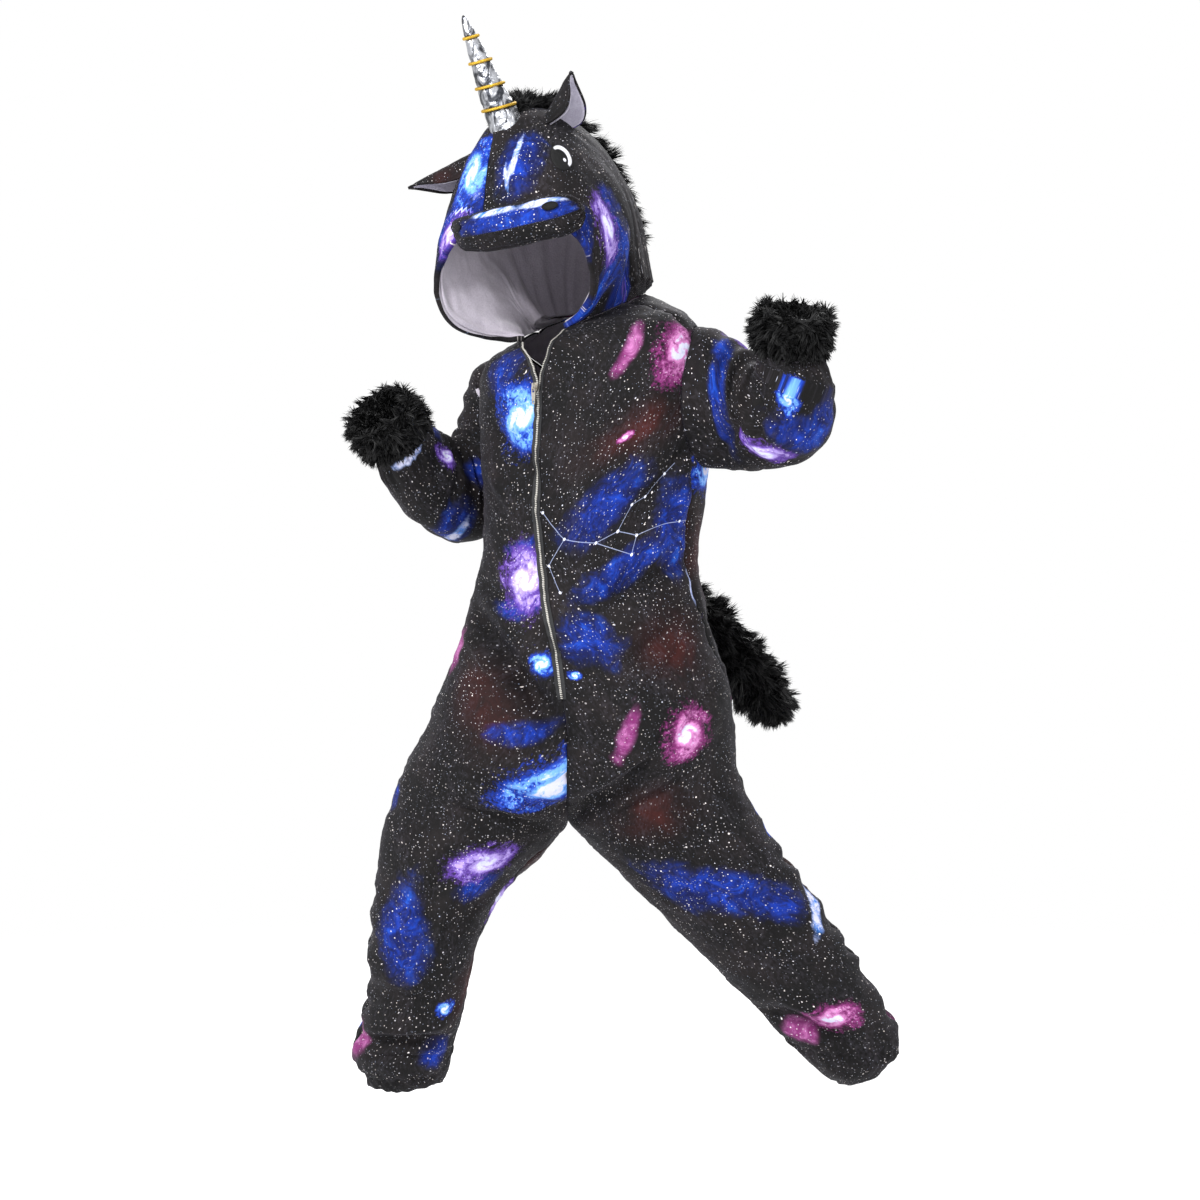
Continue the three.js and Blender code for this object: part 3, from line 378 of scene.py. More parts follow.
@dataclass(frozen=True)
class PrintedPlush:
    """Short plush that is printed all over with galaxies, clouds and stars."""

    name: str = "printed_plush"
    ground: str = "#0c0b0c"
    warm: str = "#191516"
    deep_blue: str = "#071248"
    blue: str = "#0d35a4"
    bright: str = "#2f7fe0"
    pale_blue: str = "#6aa0ea"
    magenta: str = "#7a2a68"
    pink: str = "#bf78b0"
    violet: str = "#5a3a96"
    lilac: str = "#a48fd2"
    white: str = "#c6c8e0"
    ember: str = "#3d1512"

    def paint(self, f: Finish) -> None:
        """Build the cloth's nodes.

        Args:
            f: The finish to fill.
        """
        cloth = f.node("UVMap", {"uv_map": "cloth"}).outputs[0]
        colour = self.clouds(f, cloth, self.ground_colour(f, cloth))
        colour = self.galaxies(f, cloth, colour)
        colour = self.stars(f, cloth, colour)
        nap = f.noise(f.scaled(cloth, (1.0, 0.55, 1.0)), 260.0, 3.0, 0.6)
        brushed = f.noise(f.scaled(cloth, (1.0, 0.4, 1.0)), 34.0, 3.0, 0.55)
        # Painted sheen and shade of the brushed nap: the noise lightens the colour towards pale grey
        # as painted sheen streaks, and darkens it towards near-black as painted shade.
        shade = (nap - 0.5) * 0.34 + (brushed - 0.5) * 0.22
        colour = f.mix(shade.most(0.0), colour, "#6f6b78")
        colour = f.mix((0.0 - shade).most(0.0) * 2.4, colour, "#030304")
        pile = f.noise(cloth, 900.0, 2.0, 0.7)
        f.bump(pile * 0.5 + nap * 0.5 + brushed * 0.8, 0.0011, 0.55)
        f.wire(
            Base_Color=colour,
            Roughness=0.68 + brushed * 0.25,
            Sheen_Weight=0.07,
            Sheen_Roughness=0.4,
            Sheen_Tint=linear("#a6a2b8"),
            Specular_IOR_Level=0.16,
        )

    def ground_colour(self, f: Finish, cloth: Any) -> Socket:
        """Lay the near-black ground with its faint warm patches.

        Args:
            f: The finish to add to.
            cloth: The flat cloth's own coordinates.

        Returns:
            The ground's colour.
        """
        patches = f.noise(cloth, 16.0, 4.0, 0.6).soft_step(0.42, 0.7)
        return f.mix(patches, self.ground, self.warm)

    def clouds(self, f: Finish, cloth: Any, colour: Any) -> Socket:
        """Print the hazes over a ground.

        Args:
            f: The finish to add to.
            cloth: The flat cloth's own coordinates.
            colour: The colour under them.

        Returns:
            The colour with hazes.
        """
        haze = f.attribute("haze")
        blue, pink, white = f.split(haze.outputs["Vector"])
        ember = f.value(haze.outputs["Alpha"])
        billow = f.noise(cloth, 15.0, 6.0, 0.62, 0.9)
        wisp = f.noise(cloth, 38.0, 6.0, 0.68, 1.2)
        colour = f.mix(ember * billow.soft_step(0.25, 0.75), colour, self.ember)
        body = (blue * 1.2 + billow * 1.3 - 0.95).soft_step(0.0, 0.8)
        colour = f.mix(body * 0.92, colour, self.deep_blue)
        colour = f.mix(body * wisp.soft_step(0.36, 0.72), colour, self.blue)
        edge = (body * wisp.soft_step(0.5, 0.86)) * billow.soft_step(0.42, 0.72)
        colour = f.mix(edge * 0.85, colour, self.bright)
        rose = (pink * 1.2 + billow * 1.3 - 1.0).soft_step(0.0, 0.7)
        colour = f.mix(rose * 0.85, colour, self.magenta)
        colour = f.mix(rose * wisp.soft_step(0.42, 0.8), colour, self.pink)
        milk = (white * 1.25 + billow * 0.9 + wisp * 0.9 - 1.35).soft_step(0.0, 0.6)
        colour = f.mix(milk * 0.9, colour, self.bright)
        colour = f.mix((milk * 1.3) * wisp.soft_step(0.34, 0.6), colour, self.white)
        marble = f.noise(cloth, 26.0, 3.0, 0.55, 2.2) - 0.5
        vein = (marble * marble).soft_step(0.0009, 0.0)
        return f.mix(vein * milk * 0.6, colour, "#5b6396")

    def galaxies(self, f: Finish, cloth: Any, colour: Any) -> Socket:
        """Print the spiral galaxies, each in its own turned and scaled coordinates.

        Args:
            f: The finish to add to.
            cloth: The flat cloth's own coordinates.
            colour: The colour under them.

        Returns:
            The colour with galaxies.
        """
        x, y, near = f.split(f.attribute("galaxy").outputs["Vector"])
        dye = f.number("dye")
        swirl = f.node("TexNoise", {}, {"Vector": cloth, "Scale": 30.0, "Detail": 3.0})
        push, pull, _ = f.split(swirl.outputs["Color"])
        x, y = x + (push - 0.5) * 0.55, y + (pull - 0.5) * 0.55
        ragged = f.noise(cloth, 80.0, 5.0, 0.66, 0.9)
        grain = f.noise(cloth, 260.0, 3.0, 0.7)
        reach = (x * x + y * y).root()
        turn = y.angle(x) * 2.0 + (reach + 0.2).logarithm() * 7.0 + (ragged - 0.5) * 7.0
        arm = turn.cosine() * 0.5 + 0.5
        core = 0.62 / (1.0 + reach * reach * 6.0) ** 2.0
        body = 1.3 - reach + (ragged - 0.5) * 1.5
        light = (core + body.most(0.0) * (arm * 0.5 + 0.46) + (grain - 0.5) * 0.75) * near
        cool = f.mix(dye * 2.0, self.blue, self.violet)
        rim = f.mix(dye * 2.0 - 1.0, cool, self.magenta)
        tint = f.mix(dye * 2.0, self.pale_blue, self.lilac)
        inner = f.mix(dye * 2.0 - 1.0, tint, self.pink)
        colour = f.mix(light.soft_step(0.12, 0.5) * 0.9, colour, rim)
        colour = f.mix(light.soft_step(0.42, 0.85), colour, inner)
        return f.mix(light.soft_step(0.86, 1.25), colour, self.white)

    def stars(self, f: Finish, cloth: Any, colour: Any) -> Socket:
        """Sprinkle stars of three sizes.

        Args:
            f: The finish to add to.
            cloth: The flat cloth's own coordinates.
            colour: The colour under them.

        Returns:
            The colour with stars.
        """
        crowd = f.noise(cloth, 13.0, 3.0, 0.6).soft_step(0.34, 0.62) * 0.75 + 0.25
        for scale, radius, share in STARS.rows.tolist():
            settings = {"voronoi_dimensions": "2D"}
            cell = f.node("TexVoronoi", settings, {"Vector": cloth, "Scale": scale})
            pick = f.split(cell.outputs["Color"])
            size = radius * (0.45 + pick[1] * 0.75)
            dot = (size - f.value(cell.outputs["Distance"])).soft_step(0.0, radius * 0.5)
            lit = dot * (pick[0] > share) * (0.35 + pick[2] * 0.65) * crowd
            tint = f.mix(pick[1], "#b9cdf4", "#fff4ee")
            colour = f.mix(lit, colour, tint)
        joined = colour
        for x0, y0, x1, y1 in CONSTELLATION.rows * METRES:
            joined = self.joined_stars(f, cloth, joined, (x0, y0, 0.0), (x1, y1, 0.0))
        return f.mix(f.number("joined"), colour, joined)

    def joined_stars(self, f: Finish, cloth: Any, colour: Any, start: tuple[float, float, float],
                     end: tuple[float, float, float]) -> Socket:
        """Print a thin line with a star at its start.

        Args:
            f: The finish to add to.
            cloth: The flat cloth's own coordinates.
            colour: The colour under them.
            start: Where the line starts on the flat cloth.
            end: Where it ends.

        Returns:
            The colour with the line and its star.
        """
        def vectors(operation: str, first: Any, second: Any, output: int = 0) -> Any:
            """Add one Vector Math node."""
            node = f.node("VectorMath", {"operation": operation}, {0: first, 1: second})
            return node.outputs[output]

        line = Vector(end) - Vector(start)
        away = vectors("SUBTRACT", cloth, start)
        share = f.value(vectors("DOT_PRODUCT", away, tuple(line), 1)) * (1.0 / line.length_squared)
        held = share.most(0.0).least(1.0)
        foot = f.node("VectorMath", {"operation": "SCALE"}, {0: tuple(line), 3: held}).outputs[0]
        near = f.value(vectors("DISTANCE", away, foot, 1))
        colour = f.mix(near.soft_step(0.0006, 0.0002) * 0.55, colour, "#a9b4d8")
        star = f.value(f.node("VectorMath", {"operation": "LENGTH"}, {0: away}).outputs[1])
        return f.mix(star.soft_step(0.0022, 0.001), colour, "#e6e9fa")


@dataclass(frozen=True)
class Fleece:
    """Plain fleece, such as the hood's lining and the cloth's unprinted back."""

    name: str = "lining"
    light: str = "#c3bdc8"
    shade: str = "#938c98"
    rubbed: str = "#cec9d2"

    def paint(self, f: Finish) -> None:
        """Build the fleece's nodes.

        Args:
            f: The finish to fill.
        """
        place = f.place()
        curl = f.noise(place, 520.0, 4.0, 0.7)
        rubbed = f.noise(place, 42.0, 3.0, 0.6)
        colour = f.mix((curl - 0.25) * 1.3, self.shade, self.light)
        colour = f.mix(rubbed.soft_step(0.5, 0.8) * 0.3, colour, self.rubbed)
        f.bump(curl * 0.7 + rubbed, 0.0014, 0.6)
        f.wire(Base_Color=colour, Roughness=0.86 + rubbed * 0.1, Sheen_Weight=0.35,
               Sheen_Roughness=0.6, Specular_IOR_Level=0.2)


@dataclass(frozen=True)
class PaleFleece(Fleece):
    """The ears' paler lining."""

    name: str = "ear_lining"
    light: str = "#bdb9c8"
    shade: str = "#8e8a9c"
    rubbed: str = "#cfccd8"


@dataclass(frozen=True)
class LongPile:
    """Long glossy pile, and the dark backing that it grows from."""

    name: str = "fur"
    root: str = "#040405"
    tip: str = "#141416"
    gloss: float = 0.5

    def paint(self, f: Finish) -> None:
        """Build the pile's nodes.

        Args:
            f: The finish to fill.
        """
        strand = f.value(f.node("NewGeometry").outputs["Random Per Island"])
        along = f.number("along")
        lock = f.noise(f.place(), 55.0, 3.0, 0.6)
        # Lighter towards the blade tips and darker at the roots: painted sheen on the tips and
        # painted shade deep in the pile, on top of random tone for each strand and tuft.
        share = (strand * 0.55 + lock * 0.5 - 0.2) * (0.25 + along * 0.75)
        f.wire(
            Base_Color=f.mix(share, self.root, self.tip),
            Roughness=self.gloss + strand * 0.2,
            Specular_IOR_Level=0.32,
        )


@dataclass(frozen=True)
class Lame:
    """Crinkled silver cloth."""

    name: str = "silver_lame"
    light: str = "#b4b6bc"
    dark: str = "#3d3f45"

    def paint(self, f: Finish) -> None:
        """Build the crinkled metal cloth's nodes.

        Args:
            f: The finish to fill.
        """
        place = f.place()
        facets = {"feature": "F1", "distance": "EUCLIDEAN"}
        crushed = f.noise(f.scaled(place, (1.0, 1.0, 0.6)), 62.0, 3.0, 0.55, 1.8)
        cell = f.node("TexVoronoi", facets, {"Vector": place, "Scale": 120.0})
        crease = f.value(cell.outputs["Distance"])
        knit = f.noise(place, 1500.0, 2.0, 0.6)
        height = crushed * 0.9 + crease * 0.5 + knit * 0.06
        f.bump(height, 0.0035, 0.8)
        # Painted reflections and shade of the crinkles: the colour follows the crush height, dark in
        # the hollows and light on the raised ridges.
        f.wire(
            Base_Color=f.mix(crushed.soft_step(0.4, 0.6), self.dark, self.light),
            Metallic=0.95,
            Roughness=0.2 + crease * 0.25,
        )


@dataclass(frozen=True)
class GoldCord:
    """Twisted metallic cord."""

    name: str = "gold_cord"
    light: str = "#dcb43c"
    dark: str = "#806018"

    def paint(self, f: Finish) -> None:
        """Build the cord's nodes.

        Args:
            f: The finish to fill.
        """
        ply = f.number("along")
        fibre = f.noise(f.place(), 1300.0, 2.0, 0.7)
        # Painted shade in the grooves between the twisted plies, lighter on each ply's crown, with
        # random fibre tone.
        ply_shade_and_fibre = ply * 0.75 + fibre * 0.5 - 0.2
        f.bump(fibre, 0.0005, 0.7)
        f.wire(Base_Color=f.mix(ply_shade_and_fibre, self.dark, self.light), Metallic=0.75,
               Roughness=0.3 + fibre * 0.2)


@dataclass(frozen=True)
class SatinStitch:
    """An embroidered patch, dark with a pale ring and highlights where it has them."""

    name: str = "embroidery"
    thread: str = "#030304"
    pale: str = "#d4d4dc"

    def paint(self, f: Finish) -> None:
        """Build the stitched patch's nodes.

        Args:
            f: The finish to fill.
        """
        sew = f.node("UVMap", {"uv_map": "cloth"}).outputs[0]
        pale = f.number("along")
        stitch = f.node("TexWave", {"bands_direction": "X"},
                        {"Vector": sew, "Scale": 420.0, "Distortion": 1.5, "Detail": 1.0})
        rows = f.value(stitch.outputs["Fac"])
        dark = f.mix(rows * 0.35, self.thread, "#101013")
        f.bump(rows, 0.0004, 0.6)
        f.wire(Base_Color=f.mix(pale, dark, self.pale), Roughness=0.5 + rows * 0.2,
               Specular_IOR_Level=0.2)


@dataclass(frozen=True)
class ZipTape:
    """Woven tape with moulded teeth."""

    name: str = "zip_tape"
    woven: str = "#121318"
    tooth: str = "#b4b0a6"

    def paint(self, f: Finish) -> None:
        """Build the tape's nodes.

        Args:
            f: The finish to fill.
        """
        tooth = f.number("along")
        weave = f.noise(f.place(), 2200.0, 2.0, 0.6)
        cloth = f.mix(weave, "#08080a", self.woven)
        worn = f.mix(weave * 0.4, self.tooth, "#8c9099")
        f.bump(weave, 0.0003, 0.5)
        f.wire(Base_Color=f.mix(tooth, cloth, worn), Roughness=0.7 - tooth * 0.35 + weave * 0.1)


@dataclass(frozen=True)
class PlatedZinc:
    """The slider's and pull tab's plating, rubbed a little at random."""

    name: str = "zip_metal"
    plate: str = "#cfcac0"
    rubbed: str = "#9d968a"

    def paint(self, f: Finish) -> None:
        """Build the plating's nodes.

        Args:
            f: The finish to fill.
        """
        place = f.place()
        wear = f.noise(place, 900.0, 4.0, 0.65)
        cloud = f.noise(place, 180.0, 2.0, 0.5)
        f.bump(wear, 0.0001, 0.4)
        f.wire(Base_Color=f.mix(wear.soft_step(0.4, 0.75), self.plate, self.rubbed),
               Metallic=0.95, Roughness=0.2 + cloud * 0.22)


@dataclass(frozen=True)
class Paper:
    """A pale floor that fades into the backdrop."""

    name: str = "floor"

    def paint(self, f: Finish) -> None:
        """Build the floor's nodes.

        Args:
            f: The finish to fill.
        """
        x, y, _ = f.split(f.place())
        reach = (x * x + y * y).root()
        f.wire(Base_Color=linear("#f4f4f4"), Roughness=0.9, Alpha=reach.soft_step(2.6, 1.1))


FINISHES: dict[str, Material] = {}


def finish(kind: type) -> Material:
    """Make a finish's material once and hand it out after that.

    Args:
        kind: The finish's class.

    Returns:
        Its material.
    """
    if kind.name not in FINISHES:
        made = Finish(kind.name)
        kind().paint(made)
        FINISHES[kind.name] = made.material
    return FINISHES[kind.name]


# Tables, curves and fields


def curve(rows: Array, places: Array) -> Array:
    """Follow a smooth curve through rows of numbers.

    Args:
        rows: One row of numbers for each whole place.
        places: Where to sample it, from 0 to the last row's place.

    Returns:
        The rows at those places.
    """
    last = len(rows) - 1
    first = np.clip(np.floor(places).astype(int), 0, max(last - 1, 0))
    t = (places - first)[:, None]
    a, b, c, d = [rows[np.clip(first + k, 0, last)] for k in (-1, 0, 1, 2)]
    return (
        a * (-0.5 * t + t * t - 0.5 * t**3)
        + b * (1 - 2.5 * t * t + 1.5 * t**3)
        + c * (0.5 * t + 2 * t * t - 1.5 * t**3)
        + d * (-0.5 * t * t + 0.5 * t**3)
    )


def fine_places(spans: Array, step: float) -> Array:
    """Share out places along spans of a table, about a step apart.

    Args:
        spans: The length of each span, in millimetres.
        step: The wanted distance between places.

    Returns:
        The places, in rows of the table.
    """
    counts = np.maximum(1, np.ceil(spans / step).astype(int))
    parts = [i + np.arange(count) / count for i, count in enumerate(counts)]
    return np.concatenate([*parts, [len(spans)]])


def unit(vectors: Array) -> Array:
    """Scale vectors to a length of one."""
    return vectors / np.maximum(np.linalg.norm(vectors, axis=-1, keepdims=True), 1e-9)


def rise(values: Array, low: float, high: float) -> Array:
    """Rise smoothly from 0 at low to 1 at high."""
    t = np.clip((values - low) / (high - low), 0, 1)
    return t * t * (3 - 2 * t)


class Wrinkle:
    """Smooth seeded noise over two coordinates in millimetres."""

    def __init__(self, seed: int, across: float, down: float) -> None:
        """Make the lattice.

        Args:
            seed: The seed.
            across: The size of a wave along the first coordinate.
            down: The size of a wave along the second one.
        """
        self.lattice = np.random.default_rng(seed).uniform(-1, 1, (64, 64))
        self.size = np.array([across, down])

    def at(self, u: Array, v: Array) -> Array:
        """Sample the noise.

        Args:
            u: First coordinates.
            v: Second coordinates.

        Returns:
            Values from -1 to 1.
        """
        total = 0.0
        for octave in (1.0, 2.1):
            x, y = u / self.size[0] * octave, v / self.size[1] * octave
            i, j = np.floor(x).astype(int), np.floor(y).astype(int)
            s, t = rise(x - i, 0, 1), rise(y - j, 0, 1)
            at = lambda a, b: self.lattice[a % 64, b % 64]
            low = at(i, j) * (1 - s) + at(i + 1, j) * s
            high = at(i, j + 1) * (1 - s) + at(i + 1, j + 1) * s
            total = total + (low * (1 - t) + high * t) / octave
        return total / 1.48


def paired(first: Array, second: Array) -> Array:
    """Set two grids of numbers side by side, as rows of two."""
    return np.stack([first, second], axis=-1).reshape(-1, 2)


def circle(count: int) -> Array:
    """Share out angles round a circle, in radians."""
    return np.linspace(0, 2 * np.pi, count, endpoint=False)


def disc(inner: float, rings: int, columns: int) -> list[Array]:
    """Lay out rings of angles, for an oval patch.

    Args:
        inner: The first ring's share of the full size.
        rings: How many rings there are.
        columns: How many points each ring has.

    Returns:
        The share of the full size, and the angle, of each point.
    """
    return np.meshgrid(np.linspace(inner, 1, rings), circle(columns), indexing="ij")


def lengths_along(line: Array) -> Array:
    """Measure from a line's first point to each of its points."""
    return np.concatenate([[0], np.cumsum(np.linalg.norm(np.diff(line, axis=0), axis=1))])


def blended(values: Array, rows: tuple[Array, Array], columns: tuple[Array, Array, Array]) -> Array:
    """Blend the four grid points round each place.

    Args:
        values: Values in rows and columns.
        rows: Each place's row, and its share of the next one.
        columns: Each place's column, the next column, and that one's share.

    Returns:
        The value at each place.
    """
    (i, s), (j, k, t) = rows, columns
    near = values[i, j] * (1 - t) + values[i, k] * t
    return near * (1 - s) + (values[i + 1, j] * (1 - t) + values[i + 1, k] * t) * s


def arc_lengths(grid: Array, axis: int) -> Array:
    """Measure along a grid.

    Args:
        grid: Points in rows and columns.
        axis: 0 to measure down the columns, 1 along the rows.

    Returns:
        The distance from the first row or column to each point.
    """
    steps = np.linalg.norm(np.diff(grid, axis=axis), axis=2)
    zero = np.zeros_like(np.take(steps, [0], axis=axis))
    return np.concatenate([zero, np.cumsum(steps, axis=axis)], axis=axis)


def grid_normals(grid: Array, wrapped: bool = False) -> Array:
    """Work out a grid's normals.

    Args:
        grid: Points in rows and columns.
        wrapped: Whether the last column meets the first one.

    Returns:
        Normals of any length, one for each point.
    """
    down = np.gradient(grid, axis=0)
    if wrapped:
        across = np.roll(grid, -1, axis=1) - np.roll(grid, 1, axis=1)
    else:
        across = np.gradient(grid, axis=1)
    return unit(np.cross(down, across))


def uncrossed(grid: Array) -> Array:
    """Ease apart rows that a fold has pushed past each other, and leave the seams alone.

    Args:
        grid: Points in rows and columns.

    Returns:
        The eased points.
    """
    rows = np.arange(len(grid) - 1)
    for _ in range(40):
        wide = grid[np.minimum(rows + 5, len(rows))] - grid[np.maximum(rows - 4, 0)]
        step = np.sum(np.diff(grid, axis=0) * unit(wide), axis=2)
        loose = np.zeros(grid.shape[:2])
        loose[:-1][step < 0.8] = 1
        loose[1:][step < 0.8] = 1
        if not loose[:, 1:-1].any():
            break
        for _ in range(4):
            loose[1:-1] = np.maximum(loose[1:-1], 0.8 * np.maximum(loose[:-2], loose[2:]))
            loose[:, 1:-1] = np.maximum(loose[:, 1:-1], 0.8 * np.maximum(loose[:, :-2], loose[:, 2:]))
        loose[:, [0, -1]] = 0
        grid[1:-1] += 0.5 * loose[1:-1, :, None] * ((grid[:-2] + grid[2:]) / 2 - grid[1:-1])
    return grid


# Folds and creases, as lines seen from the front, with a soft trough or ridge along them

FOLDS = Table("x0 z0 x1 z1 width depth face", [
    [-132, -330, -30, -450, 20, -13, -1],
    [-112, -372, -8, -492, 20, -12, -1],
    [-60, -400, 30, -470, 22, 7, -1],
    [-130, -300, -60, -330, 20, -9, -1],
    [130, -275, 20, -330, 24, -9, -1],
    [140, -330, 60, -420, 24, -7, -1],
    [-8, -590, -110, -552, 26, -9, -1],
    [0, -585, 90, -530, 24, -10, -1],
    [-120, -95, -40, -190, 24, -6, -1],
    [150, -120, 70, -230, 26, -6, -1],
    [-262, -865, -150, -862, 14, -12, -1],
    [-255, -800, -170, -815, 18, -7, -1],
    [-150, -640, -210, -770, 24, -7, -1],
    [232, -835, 345, -872, 18, -12, -1],
    [176, -156, 213, -68, 12, -8, -1],
    [218, -50, 221, -140, 10, -6, -1],
    [-170, -126, -171, -174, 10, -6, -1],
    [-155, -128, -120, -179, 10, -6, -1],
    [175, -700, 250, -790, 26, -7, -1],
    [225, -680, 260, -745, 18, -7, -1],
    [110, -560, 190, -640, 24, -9, -1],
    [-80, -330, 60, -390, 26, -10, 1],
    [140, -320, 20, -400, 24, -9, 1],
    [-150, -540, -20, -600, 24, -10, 1],
    [20, -590, 150, -560, 24, -10, 1],
    [-60, -110, 60, -200, 28, -6, 1],
    [150, -690, 260, -800, 24, -9, 1],
    [-160, -660, -200, -800, 24, -7, 1],
    [-265, -868, -150, -864, 14, -10, 1],
    [232, -835, 345, -872, 18, -10, 1],
])

CREASES = Table("x0 z0 x1 z1 width depth face", [
    [-125, -345, -40, -468, 9, -4, -1],
    [-140, -365, -60, -455, 9, 4, -1],
    [-118, -392, -30, -500, 9, 4, -1],
    [-95, -420, -25, -520, 8, -3, -1],
    [-60, -345, 10, -420, 9, -3, -1],
    [120, -290, 40, -325, 8, -4, -1],
    [135, -310, 50, -360, 9, 3, -1],
    [148, -350, 90, -440, 9, -3, -1],
    [170, -430, 110, -520, 10, -3, -1],
    [-20, -570, -130, -524, 10, 3, -1],
    [-15, -608, -105, -584, 10, -2, -1],
    [20, -560, 100, -505, 9, 3, -1],
    [40, -595, 130, -545, 9, -4, -1],
    [120, -470, 60, -560, 10, -3, -1],
    [-110, -110, -55, -170, 10, -3, -1],
    [-115, -150, -60, -240, 10, 3, -1],
    [140, -135, 95, -200, 10, -3, -1],
    [150, -180, 90, -290, 12, 3, -1],
    [-258, -850, -160, -842, 8, 4, -1],
    [-262, -882, -160, -884, 7, -4, -1],
    [-250, -820, -180, -832, 8, -3, -1],
    [-245, -760, -190, -780, 9, -3, -1],
    [-235, -690, -150, -720, 9, -3, -1],
    [-140, -660, -190, -790, 10, 3, -1],
    [245, -815, 350, -850, 8, 4, -1],
    [262, -850, 360, -890, 7, -4, -1],
    [190, -720, 255, -800, 9, 3, -1],
    [150, -650, 215, -720, 10, -3, -1],
    [200, -660, 235, -720, 8, -3, -1],
    [85, -600, 150, -655, 10, -3, -1],
    [165, -545, 205, -590, 9, -4, -1],
    [-60, -340, 80, -370, 10, -4, 1],
    [120, -350, 30, -420, 10, -4, 1],
    [-130, -560, -30, -610, 10, -4, 1],
    [40, -600, 140, -575, 10, -4, 1],
    [-100, -200, 90, -190, 12, -3, 1],
    [-80, -250, 100, -270, 12, -3, 1],
    [170, -720, 270, -810, 10, -4, 1],
    [-170, -690, -210, -800, 10, -3, 1],
    [-90, -480, -20, -520, 12, -3, 1],
])


def fold_height(points: Array, normals: Array, folds: Table) -> Array:
    """Work out how far folds raise or sink a surface.

    Args:
        points: Points on the surface.
        normals: Their normals.
        folds: A table of folds.

    Returns:
        The height at each point, in millimetres.
    """
    height = np.zeros(points.shape[:-1])
    for x0, z0, x1, z1, width, depth, face in folds.rows:
        facing = rise(normals[..., 1] * face, 0, 0.5)
        line = np.array([x1 - x0, z1 - z0])
        px, pz = points[..., 0] - x0, points[..., 2] - z0
        t = np.clip((px * line[0] + pz * line[1]) / (line @ line), 0, 1)
        away = np.hypot(px - t * line[0], pz - t * line[1])
        profile = np.cos(np.pi / 2 * np.minimum(away / width, 1)) ** 2
        height += depth * facing * profile * (1 - 0.6 * (2 * t - 1) ** 4)
    return height


# The print: galaxies and hazes, placed on each piece of cloth


@dataclass(frozen=True)
class Galaxy:
    """A printed galaxy: its place, size, shape and dye."""

    x: float
    z: float
    radius: float
    stretch: float
    turn: float
    dye: Dye


@dataclass(frozen=True)
class Cloud:
    """A printed cloud: its place, half sizes, turn and kind."""

    x: float
    z: float
    wide: float
    high: float
    turn: float
    haze: Haze


G, C = Galaxy, Cloud

REPEAT_WIDTH, REPEAT_HEIGHT = 450.0, 470.0
REPEAT = [
    G(60, 70, 45, 0.6, 30, Dye.BLUE), G(250, 130, 49, 0.7, -40, Dye.LILAC),
    G(400, 60, 38, 0.55, 70, Dye.MAGENTA), G(120, 250, 38, 0.6, -20, Dye.MAGENTA),
    G(340, 290, 47, 0.65, 15, Dye.BLUE), G(210, 400, 52, 0.6, 60, Dye.LILAC),
    G(420, 420, 29, 0.7, 0, Dye.BLUE), G(30, 390, 31, 0.5, -60, Dye.BLUE),
    C(160, 150, 60, 40, 30, Haze.BLUE), C(330, 190, 70, 35, -30, Haze.EMBER),
    C(60, 320, 65, 40, 50, Haze.BLUE), C(300, 420, 60, 45, 10, Haze.PINK),
    C(430, 250, 40, 60, 20, Haze.BLUE), C(200, 300, 40, 30, 0, Haze.WHITE),
    C(380, 130, 50, 30, -50, Haze.PINK),
]

